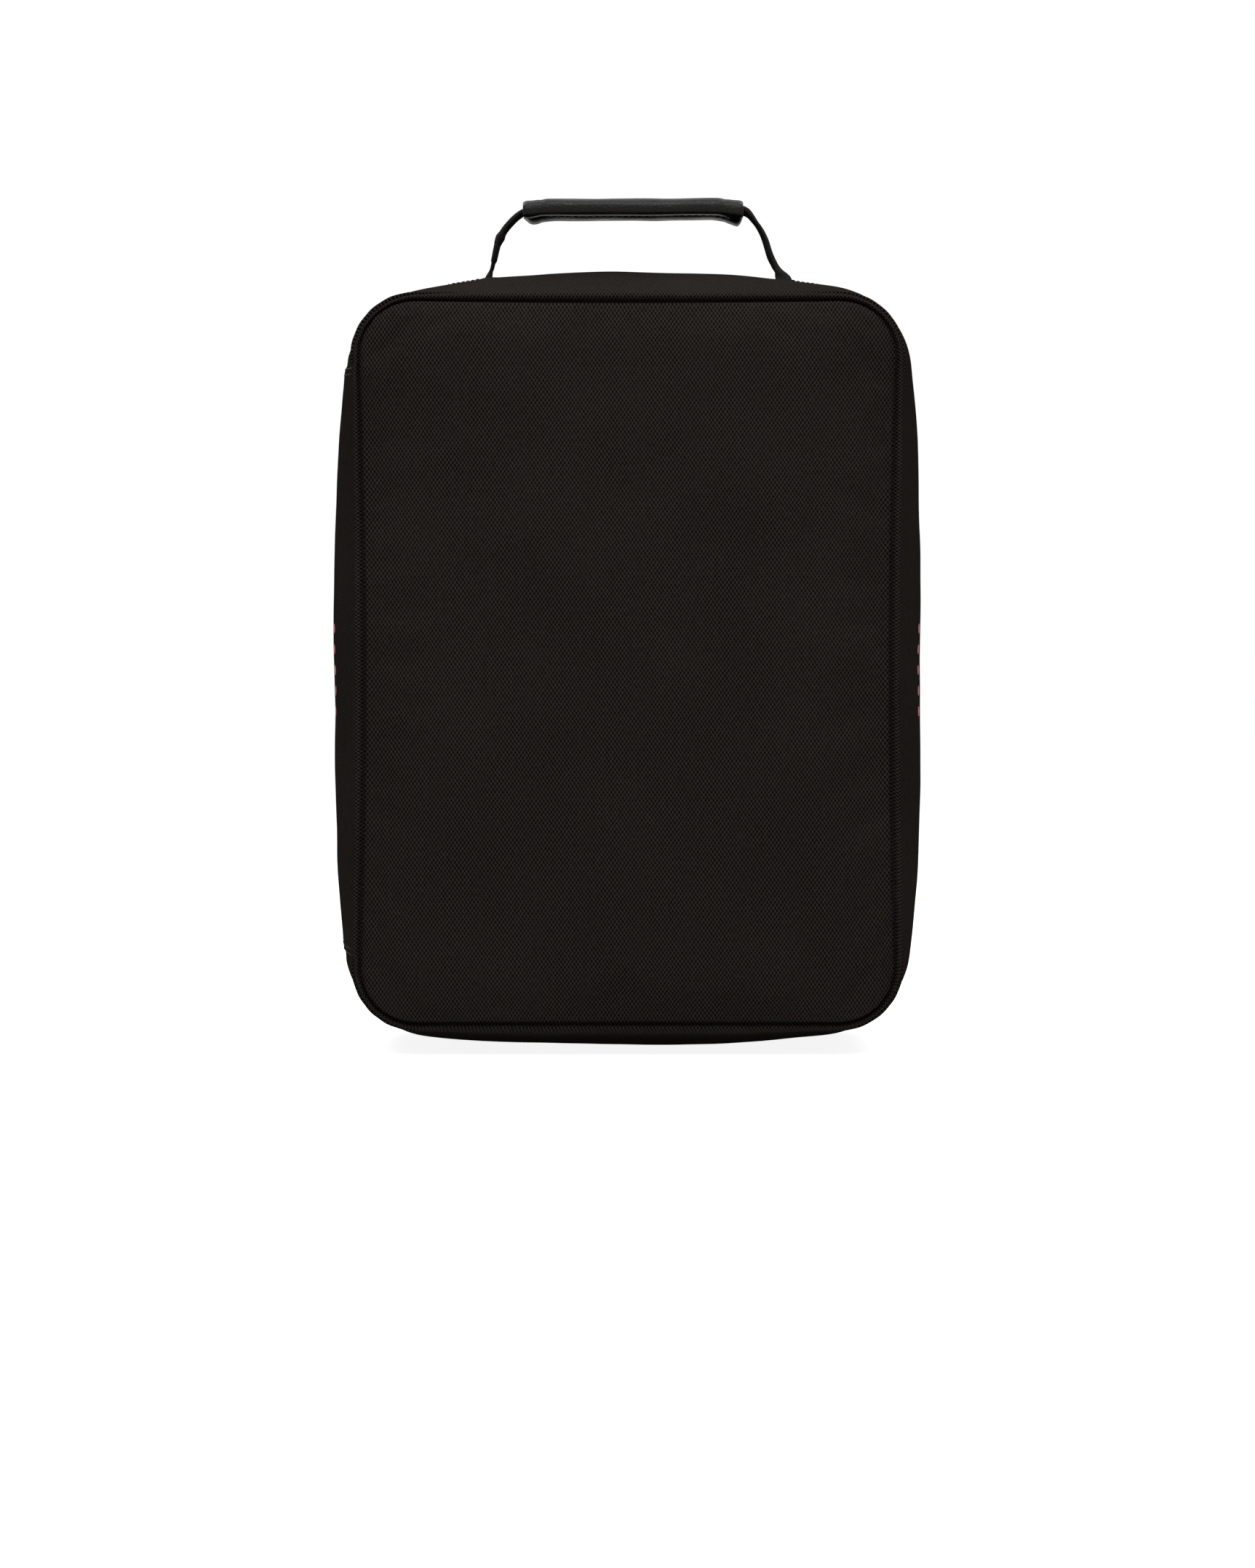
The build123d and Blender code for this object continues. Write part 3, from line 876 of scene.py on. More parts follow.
def panel_lining(name, side, body, node):
    """The lining of one panel, a little slack between its seams."""

    def place(u, v):
        point = panel_point((2 * u - 1) * 0.998, (2 * v - 1) * 0.998, side * half_depth)
        slack = 1.2 * MM * noise.noise(point / (55 * MM)) + 0.4 * MM * noise.noise(point / (18 * MM))
        inward, _ = seam_distance(point)
        point.y = side * (half_depth - rim_sink(inward) - sizes().panel_pad - 1.3 * MM - abs(slack))
        return point

    bm = flat_map(sheet(place, 40, 52, lambda p: Vector((0, -side, 0))))
    piece = new_piece(name, bm, nylon_lining())
    dress(piece, body, [node], thickness=LINING_WALL, levels=1)


def seam_binding(name, side, depth, body, node):
    """A folded tape that covers the raw seam edges inside, all round a panel."""
    tall, thick = 8 * MM, 2.5 * MM
    middle_y = side * (half_depth - sizes().seam_sink - 0.5 * MM - tall / 2)

    def place(u, v):
        turn = 2 * math.pi * v
        across = squared_off(math.cos(turn), 0.5) * tall / 2
        out = squared_off(math.sin(turn), 0.5) * thick / 2
        ripple = 0.25 * MM * noise.noise(Vector((u * 90, side, v)))
        return on_bag("all", u, middle_y + across, -(depth + thick / 2) + out + ripple)

    bm = sheet(place, 300, 12, None, (run_length("all"), 2 * (tall + thick)))
    return dress(new_piece(name, bm, polyester_webbing()), body, [node], levels=1)


# ---------------------------------------------------------------- zip fittings


def zip_seat(x):
    """Where a fitting made about the origin sits on the top run of the zip: x along it, z out of it."""
    top = on_bag("all", 0.25, zip_y)
    centre = Vector(slider_joint["pos_m"])
    radius = top.z - centre.z
    lean = math.atan2(2 * sizes().top_bulge * zip_y, half_depth**2)
    turn = math.asin(x / radius)
    lift = Matrix.Translation((0, 0, radius))
    return Matrix.Translation(centre) @ Matrix.Rotation(turn, 4, "Y") @ lift @ Matrix.Rotation(-lean, 4, "X")


def solid_plate(bm, corners, low, high):
    """Add a plate with the given outline between two heights, and return its new faces."""
    before = set(bm.faces)
    verts = [bm.verts.new((x * MM, y * MM, low * MM)) for x, y in corners]
    face = bm.faces.new(verts)
    face.normal_update()
    if face.normal.z > 0:
        face.normal_flip()
    moved = bmesh.ops.extrude_face_region(bm, geom=[face], use_keep_orig=True)
    top = [item for item in moved["geom"] if isinstance(item, bmesh.types.BMVert)]
    bmesh.ops.translate(bm, verts=top, vec=(0, 0, (high - low) * MM))
    return [f for f in bm.faces if f not in before]


def round_edges(bm, edges, width):
    bmesh.ops.bevel(bm, geom=edges, offset=width * MM, segments=2, profile=0.5, affect="EDGES", material=-1)


def mirrored(half):
    """A line of points and its mirror image below the x axis."""
    return half + [(x, -y) for x, y in reversed(half)]


def rectangle(left, low, right, high):
    return [(left, low), (right, low), (right, high), (left, high)]


def zinc_piece(name, bm, seat, body, bevel=0.0):
    """Set a zinc fitting in its place on the zip and dress it."""
    bmesh.ops.transform(bm, matrix=seat, verts=bm.verts[:])
    return dress(new_piece(name, bm, lacquered_zinc()), body, [body], bevel=bevel)


def slider_piece(name, direction, x):
    """A zip slider: two waisted plates with flanges, a post between them and a bridge for the pull tab."""
    bm = bmesh.new()
    half, wide, nose, waist = 6.0, 5.3, 3.6, 4.4
    over_low, over_top, under_top, under_low = 1.7, 2.6, -3.1, -3.9
    upper = [(-half, 2.6), (-half, wide - 1), (-half + 1, wide), (-1, wide), (2, waist + 0.3)]
    upper += [(half - 1, nose), (half, nose - 1)]
    notch = [(-half + 1.6, -1.2), (-half + 1.6, 1.2)]
    plate = [(-direction * px, py) for px, py in mirrored(upper) + notch]
    for low, high in ((over_low, over_top), (under_low, under_top)):
        solid_plate(bm, plate, low, high)
    rim = upper[2:6]
    flange = rim + [(px, py - 0.8) for px, py in reversed(rim)]
    for low, high in ((0.8, over_low), (under_top, -2.6)):
        for side in (-1, 1):
            solid_plate(bm, [(-direction * px, side * py) for px, py in flange], low, high)
    post = [(-4.4, 0), (-2.8, 0.42), (-1.2, 0), (-2.8, -0.42)]
    solid_plate(bm, [(direction * px, py) for px, py in post], under_top, over_low)
    round_edges(bm, bm.edges[:], 0.16)
    before = set(bm.verts)
    outer, inner = [(3.5, -0.2), (3.5, 1.5), (2.7, 2.3)], [(2.7, -0.2), (2.7, 1.3), (2.3, 1.6)]
    arch = [(-px, rise) for px, rise in outer] + outer[::-1]
    arch += inner + [(-px, rise) for px, rise in inner[::-1]]
    faces = solid_plate(bm, [(px, over_top + rise) for px, rise in arch], -0.8, 0.8)
    round_edges(bm, list({edge for face in faces for edge in face.edges}), 0.2)
    stood = [vert for vert in bm.verts if vert not in before]
    bmesh.ops.rotate(bm, verts=stood, cent=(0, 0, 0), matrix=Matrix.Rotation(math.pi / 2, 3, "X"))
    bmesh.ops.recalc_face_normals(bm, faces=bm.faces[:])
    return zinc_piece(name, bm, zip_seat(x), name.removesuffix("_casting"))


def puller_piece(name, direction, x):
    """A pull tab: a bar through the bridge, two arms and a tab with a raised rim and grip ribs."""
    bm = bmesh.new()
    arm, thick = 1.95, 0.55
    for side in (-1, 1):
        solid_plate(bm, rectangle(-0.4, side * (arm - 0.5), 4.6, side * (arm + 0.55)), -thick, thick)
    bmesh.ops.create_cone(
        bm, cap_ends=True, segments=12, radius1=0.5 * MM, radius2=0.5 * MM, depth=2 * arm * MM,
        matrix=Matrix.Rotation(math.pi / 2, 4, "X"),
    )
    tab = mirrored([(4.2, -3.3), (19.6, -3.3), (21.3, -2.4), (22, -0.9)])
    faces = solid_plate(bm, tab, -thick, thick)
    for face in [f for f in faces if abs(f.normal.z) > 0.5 or len(f.verts) == len(tab)]:
        bmesh.ops.inset_region(bm, faces=[face], thickness=0.7 * MM, depth=0)
        bmesh.ops.inset_region(bm, faces=[face], thickness=0.15 * MM, depth=-0.2 * MM)
    for i in range(4):
        for side in (-1, 1):
            rib_x = 11 + 2.1 * i
            low, high = sorted((side * 0.3, side * 0.52))
            solid_plate(bm, rectangle(rib_x, -2.1, rib_x + 0.9, 2.1), low, high)
    bmesh.ops.recalc_face_normals(bm, faces=bm.faces[:])
    if direction < 0:
        bmesh.ops.rotate(bm, verts=bm.verts[:], cent=(0, 0, 0), matrix=Matrix.Rotation(math.pi, 3, "Z"))
    hinge_bar = Matrix.Translation((direction * 2.0 * MM, 0, 3.35 * MM))
    return zinc_piece(name, bm, zip_seat(x) @ hinge_bar, name.removesuffix("_tab"), 0.12 * MM)


# ---------------------------------------------------------------- handle


def top_height(x, y):
    """Height of the bag's top at a place between its corners."""
    points, _ = outline(y)
    for a, b in zip(points, points[1:]):
        if a.y > mid_z and a.x <= x <= b.x and b.x > a.x:
            return a.y + (b.y - a.y) * (x - a.x) / (b.x - a.x)
    raise RuntimeError("no top at this place")


def smooth_path(knots, steps):
    """A smooth line through unevenly spaced knots."""
    spans = [(b - a).length for a, b in zip(knots, knots[1:])]
    chords = [(b - a) / span for a, b, span in zip(knots, knots[1:], spans)]
    slopes = [chords[0]]
    for a, b, before, after in zip(chords, chords[1:], spans, spans[1:]):
        slopes.append((a * after + b * before) / (before + after))
    slopes.append(chords[-1])
    path = []
    for a, b, leave, arrive, span in zip(knots, knots[1:], slopes, slopes[1:], spans):
        for i in range(steps):
            t = i / steps
            ends = a * (2 * t**3 - 3 * t**2 + 1) + b * (3 * t**2 - 2 * t**3)
            path.append(ends + (leave * (t**3 - 2 * t**2 + t) + arrive * (t**3 - t**2)) * span)
    return path + [knots[-1]]


# The strap's centre line, in mm from the grip's middle: the feet by their height over the cloth, the tails by
# their height over the feet
left_foot = ((-68.4, -4.0), (-66.8, -2.2), (-65.7, -0.8))
left_tail = (
    (-64.7, 1.6), (-64.0, 3.2), (-63.4, 5.6), (-62.8, 8.2), (-62.0, 12.0), (-61.1, 15.4), (-59.4, 18.9),
    (-57.8, 21.4), (-55.5, 24.1), (-52.7, 26.8), (-49.5, 28.9), (-44.0, 30.1), (-38.0, 30.2), (-15.0, 30.2),
)
right_tail = (
    (15.0, 30.2), (38.0, 30.4), (44.0, 30.5), (48.0, 30.2), (51.5, 28.9), (55.3, 24.6), (58.1, 20.4),
    (59.9, 16.4), (61.3, 12.0), (62.1, 9.5), (63.4, 6.6), (65.3, 3.5), (67.4, 1.2),
)
right_foot = ((68.6, -1.2), (69.4, -4.0))

# The strap's half thickness in mm and its twist in degrees, by height over the feet in mm
left_shape = (
    (0, 1.6, 3), (2.3, 0.95, 1), (6, 0.9, 0), (7, 1.35, 0), (14, 1.5, 0), (17.5, 2.2, 0), (19.5, 1.6, 0),
    (40, 1.6, 0),
)
right_shape = (
    (0, 1.4, 23), (2.5, 1.5, 14), (5.6, 1.6, 6), (8.6, 1.7, 3), (15.5, 1.5, 0), (20, 1.3, 0), (24, 1.1, 0),
    (27.5, 1.5, 0), (29.5, 2.1, 0),
)


@functools.lru_cache(maxsize=None)
def strap_path():
    """The strap's centre line from one foot, through the grip, to the other foot, in the XZ plane."""

    def foot(reach, over):
        x = grip_mid[0] + reach * MM
        tent = foot_tent(Vector((x, grip_mid[1], bag_top)))
        return Vector((x, 0, top_height(x, grip_mid[1]) + tent + over * MM))

    def tail(reach, rise):
        return Vector((grip_mid[0] + reach * MM, 0, grip_mid[2] + (rise - 30) * MM))

    knots = [foot(*spot) for spot in left_foot] + [tail(*spot) for spot in left_tail + right_tail]
    return smooth_path(knots + [foot(*spot) for spot in right_foot], 7)


def strap_piece():
    """The webbing strap: feet that enter the cloth, twisted tails and a straight middle inside the grip."""
    path = strap_path()
    run = [0.0]
    for a, b in zip(path, path[1:]):
        run.append(run[-1] + (b - a).length)
    count = len(path) - 1

    def place(u, v):
        i = round(u * count)
        here = path[i]
        height = (here.z - grip_mid[2]) / MM + 30
        upright = Vector((0, 0, -1 if here.x > grip_mid[0] else 1))
        tangent = (path[min(count, i + 1)] - path[max(0, i - 1)]).normalized()
        tangent = tangent.lerp(upright, smoothstep(9, 4, height)).normalized()
        half_thick, twist = read_table(right_shape if here.x > grip_mid[0] else left_shape, height)
        side = Matrix.Rotation(math.radians(twist), 3, tangent) @ Vector((0, 1, 0))
        out = side.cross(tangent)
        turn = 2 * math.pi * v
        wide = (10 - 1.6 * hump(height - 3, 5)) * MM
        across = squared_off(math.cos(turn), 0.6) * wide
        thick = squared_off(math.sin(turn), 0.8) * half_thick * MM
        spot = here + side * across + out * thick
        return Vector((spot.x, spot.y + grip_mid[1], spot.z))

    bm = sheet(place, count, 16, None, (run[-1], 44 * MM), close_across=True)
    piece = new_piece("handle_strap", bm, polyester_webbing())
    dress(piece, None, ["handle_webbing"], levels=1)
    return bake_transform(piece)


def grip_point(reach, angle, shrink, lower=0.0):
    """A point of the grip's sleeve: reach from its middle, angle 0 at the front and 90 degrees on top."""
    end = smoothstep(38 * MM, 48 * MM, abs(reach))
    crease = 0.45 * MM * hump(abs(reach) - 41.5 * MM, 1.1 * MM)
    tip = min(1.0, max(0.0, abs(reach) / MM - 47.3) / 2.7)
    rounding = 1.3 * MM * (1 - math.sqrt(1 - tip * tip))
    wave = 0.3 * MM * noise.noise(Vector((reach / (14 * MM), angle, 0)))
    wide = 14 * MM - shrink - crease - rounding + wave
    tall = 4.8 * MM - shrink - crease * 0.6 - rounding + wave
    c, s = math.cos(angle), math.sin(angle)
    z = squared_off(s, 0.64) * tall
    if s < 0:
        z -= lower * abs(s) * MM
    rise = grip_mid[2] + (0.2 - 0.85 * end + 0.35 * hump(reach - 33 * MM, 16 * MM)) * MM + z
    return Vector((grip_mid[0] + reach, grip_mid[1] - squared_off(c, 0.64) * wide, rise))


def leather_start(reach):
    """The angle at which the leather's cut edge lies on the front of the grip."""
    right = 22 * smoothstep(38 * MM, 45 * MM, reach)
    return math.radians(-32 - right - 6 * smoothstep(43 * MM, 47.5 * MM, -reach))


# How far the layer under the leather hangs at each end of the grip: reach from the middle and drop, in mm
left_lip = ((35, 1.7), (40, 2.1), (43, 2.7), (45.5, 2.65), (47, 2.0), (48.2, 0.9), (49.6, 0.0))
right_lip = ((36, 1.7), (40, 2.3), (44, 3.0), (47.4, 3.8), (48.8, 2.5), (49.6, 0.8))


def under_drop(reach):
    """How far the layer under the leather hangs, in mm."""
    (drop,) = read_table(right_lip if reach > 0 else left_lip, abs(reach) / MM)
    return drop


def grip_pieces():
    """The leather sleeve with its cut edges, the stitched layer under it and the rows of thread."""
    half_grip = (grip_high[0] - grip_low[0]) / 2

    def reach_at(u, half):
        """Places along the grip, closer together near its ends."""
        u = 2 * u - 1
        return half * (1.3 * u - 0.3 * u**3)

    def sleeve(u, v):
        reach = reach_at(u, half_grip)
        start = leather_start(reach)
        return grip_point(reach, start + (math.pi - 2 * start) * v, 0.0)

    bm = sheet(sleeve, 90, 28, lambda p: p - Vector((p.x, grip_mid[1], grip_mid[2])), (100 * MM, 46 * MM))
    wrap = new_piece("handle_sleeve", bm, grained_leather())
    dress(wrap, "handle", ["handle_wrap"], thickness=1.3 * MM, levels=1)

    def under_layer(u, v):
        reach = reach_at(u, half_grip - 0.4 * MM)
        return grip_point(reach, 2 * math.pi * v, 1.4 * MM, under_drop(reach))

    bm = sheet(under_layer, 80, 32, None, (98 * MM, 64 * MM), close_across=True)
    dress(new_piece("handle_padding", bm, grained_leather()), "handle", ["handle_core"], levels=1)

    def edge_line(front):
        def place(u, v):
            reach = (-49 + 97 * u) * MM
            start = leather_start(reach)
            angle = start if front else math.pi - start
            turn = 2 * math.pi * v
            spot = grip_point(reach, angle, 0.35 * MM)
            return spot + Vector((0, math.cos(turn), math.sin(turn))) * 0.5 * MM

        return sheet(place, 97, 8, None, (97 * MM, 3 * MM), close_across=True)

    for name, front in (("handle_edge_front", True), ("handle_edge_back", False)):
        dress(new_piece(name, edge_line(front), edge_with_painted_highlight()), "handle")
    spots = []
    for front in (True, False):
        for i in range(26):
            reach = (-37 + 3.2 * i) * MM
            angle = math.radians(-36) if front else math.pi + math.radians(36)
            here = grip_point(reach, angle, 1.35 * MM, under_drop(reach))
            ahead = grip_point(reach + 1 * MM, angle, 1.35 * MM, under_drop(reach))
            out = Vector((0, here.y - grip_mid[1], here.z - grip_mid[2])).normalized()
            spots.append(squared(here, ahead - here, out))
    beads("handle_stitches", spots, grip_thread(), "handle", (2.0, 0.5, 0.5))


def foot_stitches():
    """A sewn box on the cloth beside each foot, through to the patch inside."""
    box_reach, box_wide, box_deep, side_count = 77, 13, 18, 6
    spots = []
    for side in (-1, 1):
        for step in range(4 * side_count):
            turn = step % side_count / side_count - 0.5
            edge = step // side_count
            across, along = ((turn, -0.5), (0.5, turn), (-turn, 0.5), (-0.5, -turn))[edge]
            x = grip_mid[0] + side * (box_reach + box_wide * across) * MM
            y = grip_mid[1] + box_deep * along * MM
            level = round(y, 5)
            u = run_share("zip", level, outline(level)[1][QUARTER_STEPS] + x)
            here, ahead, over, out = gusset_frame("zip", u, y, PROUD)
            spots.append(squared(here, ahead if edge in (0, 2) else over, out))
    return spots


# ---------------------------------------------------------------- operators


def bend_at_hinge(hinge):
    """Bake a piece of the left side, which runs from the body into the lid, into place."""
    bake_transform(hinge)


def hinge_stitches(body, low, high):
    """Two rows of stitches beside each cross seam of the hinge gusset."""
    pitch = sizes().stitch_pitch
    spots = []
    for from_end in (2.3 * MM, 5.0 * MM):
        near = from_end / run_length("hinge")
        for u in (near, 1 - near):
            for i in range(int((high - low) / pitch)):
                here, _, across, out = gusset_frame("hinge", u, low + (i + 0.5) * pitch, -0.1 * MM)
                spots.append(squared(here, across, out))
    beads(body + "_hinge_stitches", spots, sewing_thread(), body, (2.5, 0.6, 0.4))


class SHOEBAG_OT_panels(bpy.types.Operator):
    """The padded back panel and lid panel"""

    bl_idname = "shoebag.panels"
    bl_label = "Panels"

    def execute(self, context):
        panel_pad("back_panel_pad", -1, "body", ["back_panel", "back_foam"])
        panel_pad("lid_panel_pad", 1, "lid", ["lid_panel", "lid_foam"])
        return {"FINISHED"}


class SHOEBAG_OT_gussets(bpy.types.Operator):
    """The padded gusset of the body, the lid's gusset and the stretch that hinges the lid"""

    bl_idname = "shoebag.gussets"
    bl_label = "Gussets"

    def execute(self, context):
        s = sizes()
        seam_y = half_depth - s.seam_sink
        body_edge, lid_edge, columns = zip_y - cloth_edge, zip_y + cloth_edge, 350
        body = gusset_band("body_gusset_cloth", "zip", -seam_y, body_edge, 10, columns, body_edge)
        dress(body, "body", ["body_gusset", "body_gusset_foam"], thickness=s.gusset_pad, levels=1)
        lid = gusset_band("lid_gusset_cloth", "zip", lid_edge, seam_y, 1, columns, lid_edge)
        dress(lid, "lid", ["lid_gusset"], thickness=s.cloth, levels=1)
        hinge = gusset_band("hinge_gusset_cloth", "hinge", -seam_y, seam_y, 30, 110)
        nodes = ["body_hinge_gusset", "body_hinge_foam", "lid_hinge_gusset"]
        dress(hinge, None, nodes, thickness=s.cloth, levels=1)
        bend_at_hinge(hinge)
        topstitch("body_gusset_stitches", body_edge - 2.4 * MM, "body")
        topstitch("lid_gusset_stitches", lid_edge + 2.4 * MM, "lid")
        hinge_stitches("body", -52 * MM, zip_y - 6 * MM)
        hinge_stitches("lid", zip_y + 6 * MM, seam_y - 4 * MM)
        return {"FINISHED"}


class SHOEBAG_OT_linings(bpy.types.Operator):
    """The nylon linings and the tapes that bind the seams inside"""

    bl_idname = "shoebag.linings"
    bl_label = "Linings"

    def execute(self, context):
        inner = half_depth - sizes().seam_sink - 1.5 * MM
        deep, shallow = 4.5 * MM, 2.0 * MM
        panel_lining("back_panel_lining", -1, "body", "back_lining")
        panel_lining("lid_panel_lining", 1, "lid", "lid_lining")
        nylon = nylon_lining()
        runs = (("body", -inner, zip_y - 8 * MM, deep, 14), ("lid", zip_y + 7 * MM, inner, shallow, 5))
        for body, start, end, under, rows in runs:
            inside = strip(body + "_gusset_inside", "zip", start, end, under, rows, 220, nylon)
            dress(inside, body, [body + "_gusset_lining"], thickness=LINING_WALL, levels=1)

        def depth(y):
            fold = 0.8 * MM * hump(y - zip_y, 8 * MM)
            return deep + (shallow - deep) * smoothstep(zip_y - 8 * MM, zip_y + 6 * MM, y) + fold

        hinge = strip("hinge_inside", "hinge", -inner, inner, depth, 30, 70, nylon)
        nodes = ["body_hinge_lining", "lid_hinge_lining"]
        dress(hinge, None, nodes, thickness=LINING_WALL, levels=1)
        bend_at_hinge(hinge)
        seam_binding("body_binding_tape", -1, 4.6 * MM, "body", "body_seam_binding")
        seam_binding("lid_binding_tape", 1, 2.1 * MM, "lid", "lid_seam_binding")
        return {"FINISHED"}


class SHOEBAG_OT_zip(bpy.types.Operator):
    """The zip: two tapes, two rows of coil, two sliders and their pull tabs"""

    bl_idname = "shoebag.zip"
    bl_label = "Zip"

    def execute(self, context):
        s = sizes()
        tapes = (("body", -13.8, -0.6, -1, 0.5), ("lid", 0.6, 13.8, 1, 1.0))
        for body, low, high, side, phase in tapes:
            start, end = zip_y + low * MM, zip_y + high * MM
            webbing = polyester_webbing()
            tape = strip(body + "_tape", "zip", start, end, s.tape_depth, 6, 300, webbing, False)
            dress(tape, body, [body + "_zip_tape"], thickness=0.6 * MM)
            teeth = row_on_bag("zip", zip_y + side * 1.9 * MM, s.tooth_pitch, PROUD, phase=phase)
            node = body + "_zip_coil"
            beads(body + "_coil", teeth, moulded_nylon(), body, (1.25, 4.1, 2.1), [node])
            sewn = row_on_bag("zip", zip_y + side * 4.6 * MM, 2.6 * MM, -0.75 * MM)
            beads(body + "_tape_stitches", sewn, sewing_thread(), body, (2.0, 0.7, 0.5))
        for side, direction in (("left", -1), ("right", 1)):
            low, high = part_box("slider_" + side)
            x = (low[0] + high[0]) / 2
            slider_piece("slider_" + side + "_casting", direction, x)
            puller_piece("puller_" + side + "_tab", direction, x)
        return {"FINISHED"}


class SHOEBAG_OT_handle(bpy.types.Operator):
    """The carry handle: strap, leather sleeve, stitches and the patches inside the bag's top"""

    bl_idname = "shoebag.handle"
    bl_label = "Handle"

    def execute(self, context):
        strap_piece()
        grip_pieces()
        thread = sewing_thread()
        beads("foot_stitches", foot_stitches(), thread, "body", (2.0, 0.6, 0.5))
        for side in ("left", "right"):
            low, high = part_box("anchor_patch_" + side)

            def place(u, v):
                x, y = low[0] + (high[0] - low[0]) * u, low[1] + (high[1] - low[1]) * v
                edge = min(u, 1 - u, v, 1 - v)
                return Vector((x, y, top_height(x, y) - 5.3 * MM + 0.3 * MM * hump(edge, 0.06)))

            bm = sheet(place, 20, 16, lambda p: Vector((0, 0, -1)), (high[0] - low[0], high[1] - low[1]))
            patch = new_piece("anchor_" + side, bm, polyester_webbing())
            dress(patch, "body", ["anchor_patch_" + side], thickness=0.6 * MM, levels=1)
        return {"FINISHED"}


class SHOEBAG_OT_marks(bpy.types.Operator):
    """A plain row of printed dots on each side"""

    bl_idname = "shoebag.marks"
    bl_label = "Side dots"

    def execute(self, context):
        row_y, lowest, pitch = -22, 152, 9.3
        for name, left in (("left_dots", True), ("right_dots", False)):
            bm = bmesh.new()
            for number in range(5):
                dot = bmesh.ops.create_circle(bm, cap_ends=True, cap_tris=False, segments=20, radius=2.3 * MM)
                spot = (row_y * MM, (lowest + pitch * number) * MM, 0)
                bmesh.ops.translate(bm, verts=dot["verts"], vec=spot)
            bmesh.ops.inset_individual(bm, faces=bm.faces[:], thickness=0.5 * MM)
            bm.loops.layers.uv.new("cloth")
            for vert in bm.verts:
                y, above = vert.co.x, vert.co.y - mid_z
                level = round(y, 5)
                distance = above if left else outline(level)[1][2 * QUARTER_STEPS] - above
                stretch = "hinge" if left else "zip"
                vert.co = gusset_frame(stretch, run_share(stretch, level, distance), y, PROUD)[0]
            bm.normal_update()
            inward = [face for face in bm.faces if face.normal.dot(from_axis(face.calc_center_median())) < 0]
            bmesh.ops.reverse_faces(bm, faces=inward)
            dress(new_piece(name, bm, printed_ink()), "body")
        return {"FINISHED"}


class SHOEBAG_OT_stage(bpy.types.Operator):
    """A pale floor, soft studio lamps and the camera"""

    bl_idname = "shoebag.stage"
    bl_label = "Stage"

    def execute(self, context):
        scene = context.scene
        bm = bmesh.new()
        bmesh.ops.create_grid(bm, x_segments=1, y_segments=1, size=5.0)
        mesh = bpy.data.meshes.new("floor")
        bm.to_mesh(mesh)
        bm.free()
        floor = add_object("floor", mesh)
        mesh.materials.append(floor_material())
        world = bpy.data.worlds.new("studio")
        scene.world = world
        world.use_nodes = True
        tree = world.node_tree
        strength = spread_range(tree, seen_backdrop(tree), {"To Min": 0.12, "To Max": 1.0})
        tree.links.new(strength, tree.nodes["Background"].inputs["Strength"])
        tree.nodes["Background"].inputs["Color"].default_value = (1, 1, 1, 1)
        lamps = (
            ("top_softbox", (0.0, -0.35, 1.1), 0.5, 6.3),
            ("front_left_softbox", (-0.45, -1.0, 1.25), 0.7, 3.7),
            ("front_right_softbox", (0.45, -1.0, 1.25), 0.7, 3.7),
            ("back_left_softbox", (-0.75, 0.8, 1.3), 0.7, 6.5),
            ("back_right_softbox", (0.75, 0.8, 1.3), 0.7, 6.5),
        )
        for name, place, size, power in lamps:
            lamp = bpy.data.lights.new(name, "AREA")
            lamp.size = size
            lamp.energy = power
            aim(add_object(name, lamp), place, (0, 0, 0.18))
        lens = bpy.data.cameras.new("camera")
        lens.sensor_width = 24
        lens.lens = 84.3
        scene.camera = add_object("camera", lens)
        aim(scene.camera, (0, -2.5, 0.2535), (0, 0, 0.118))
        scene.view_settings.view_transform = "Standard"
        return {"FINISHED"}


def aim(item, place, target):
    """Put a lamp or the camera at a place and turn it towards a target."""
    item.location = place
    item.rotation_mode = "QUATERNION"
    item.rotation_quaternion = (Vector(target) - Vector(place)).to_track_quat("-Z", "Y")


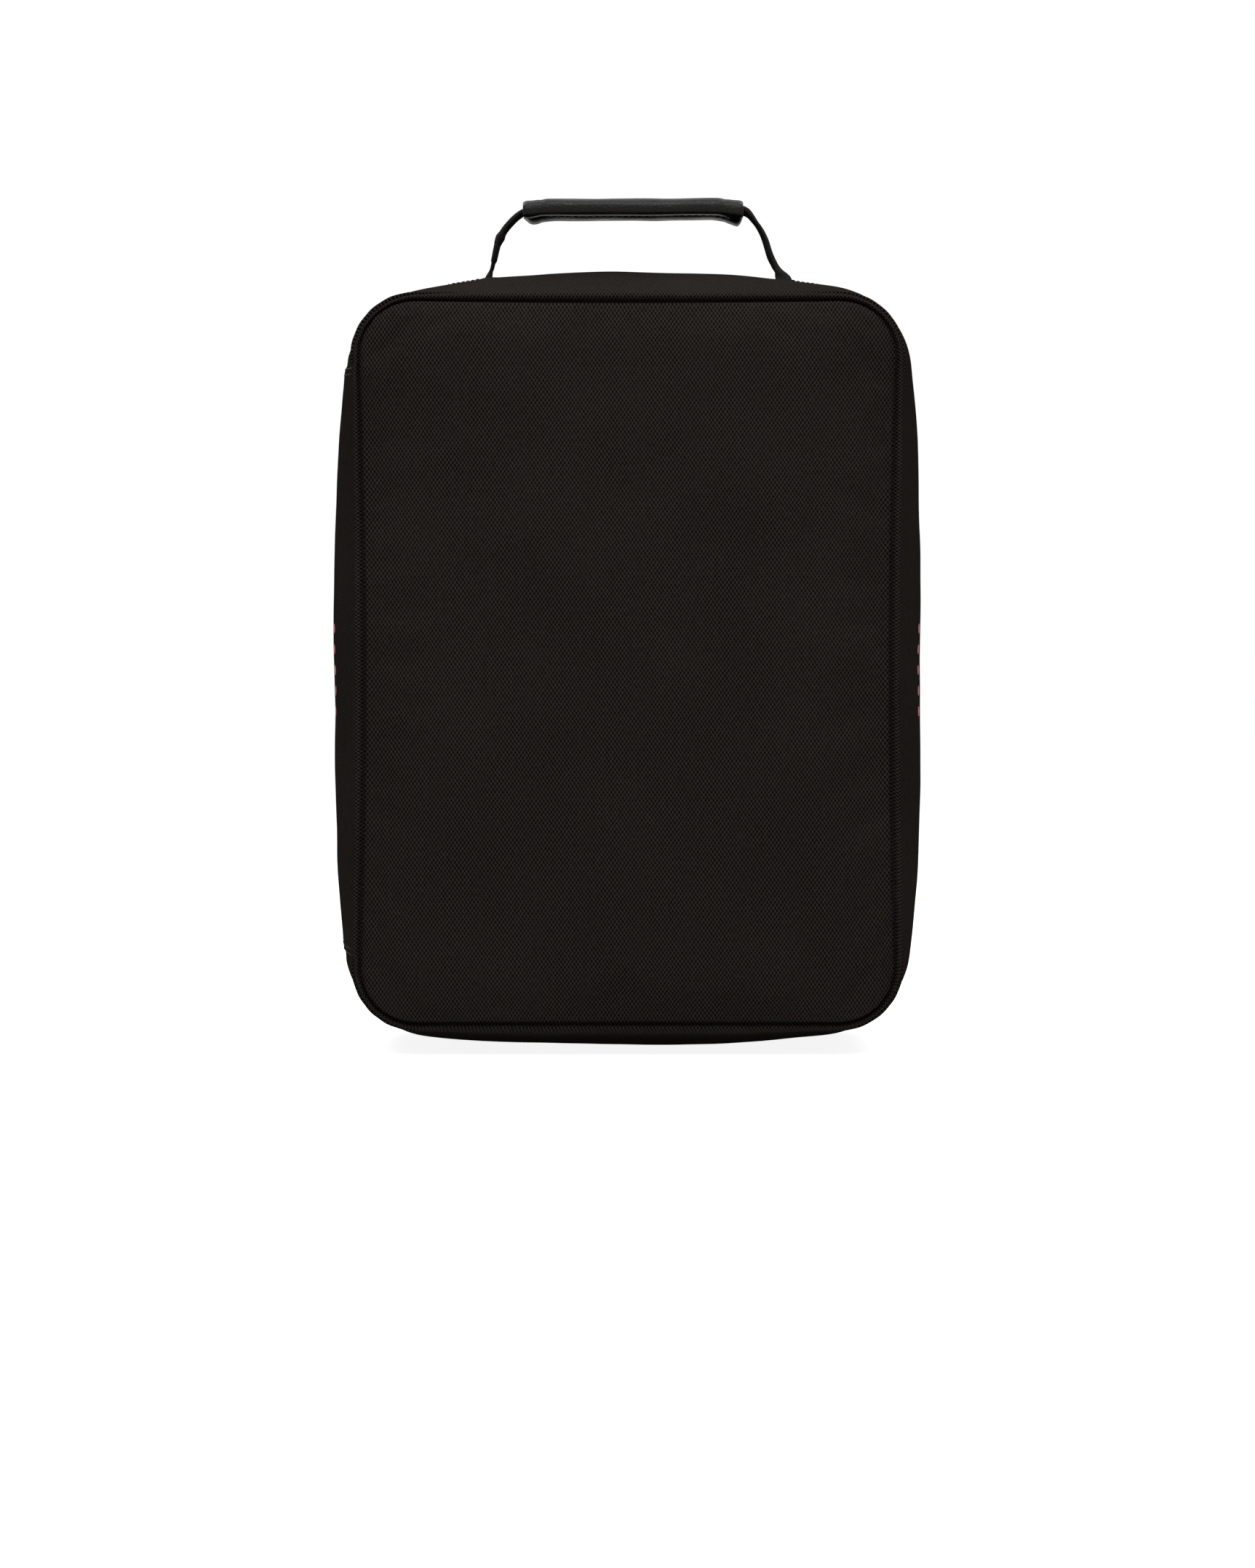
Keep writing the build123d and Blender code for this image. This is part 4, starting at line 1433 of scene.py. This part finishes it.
def seen_backdrop(tree):
    """1 for the rays that show the backdrop itself: the camera's, reflected ones and those through glass."""
    rays = tree.nodes.new("ShaderNodeLightPath").outputs
    mirrored = maths(tree, "MAXIMUM", rays["Is Glossy Ray"], rays["Is Transmission Ray"])
    return maths(tree, "MAXIMUM", rays["Is Camera Ray"], mirrored)


def floor_material():
    """Pale matte floor. The camera sees it lifted towards white, and it keeps the bag's shadow."""
    material, tree, shader = new_material("studio_floor")
    pale = colours().floor
    spots = speckle(tree, object_place(tree), 40.0)
    fill(tree, shader, {
        "Base Color": blend_colours(tree, spots, darker(pale, 0.985), pale),
        "Roughness": 0.9,
        "Specular IOR Level": 0.0,
        "Emission Strength": spread_range(tree, seen_backdrop(tree), {"To Min": 0.15, "To Max": 0.89}),
        "Emission Color": (1, 1, 1, 1),
    })
    return material


class SHOEBAG_PT_panel(bpy.types.Panel):
    """Lists the bag's pieces, sizes and colours"""

    bl_idname = "SHOEBAG_PT_panel"
    bl_label = "Shoe bag"
    bl_space_type = "VIEW_3D"
    bl_region_type = "UI"
    bl_category = "Shoe bag"

    def draw(self, context):
        for operator in operators:
            self.layout.operator(operator.bl_idname)
        for group in (context.scene.shoe_bag_sizes, context.scene.shoe_bag_colours):
            column = self.layout.column(heading=group.bl_rna.description)
            for name in group.__annotations__:
                column.prop(group, name)


operators = (
    SHOEBAG_OT_stage,
    SHOEBAG_OT_panels,
    SHOEBAG_OT_gussets,
    SHOEBAG_OT_linings,
    SHOEBAG_OT_zip,
    SHOEBAG_OT_handle,
    SHOEBAG_OT_marks,
)
classes = (ShoeBagSizes, ShoeBagColours, *operators, SHOEBAG_PT_panel)


def register():
    for item in classes:
        bpy.utils.register_class(item)
    bpy.types.Scene.shoe_bag_sizes = bpy.props.PointerProperty(type=ShoeBagSizes)
    bpy.types.Scene.shoe_bag_colours = bpy.props.PointerProperty(type=ShoeBagColours)


def unregister():
    del bpy.types.Scene.shoe_bag_sizes, bpy.types.Scene.shoe_bag_colours
    for item in reversed(classes):
        bpy.utils.unregister_class(item)


def main():
    """Make every piece and the stage."""
    register()
    for operator in operators:
        group, name = operator.bl_idname.split(".")
        getattr(getattr(bpy.ops, group), name)()


if __name__ == "__main__":
    main()
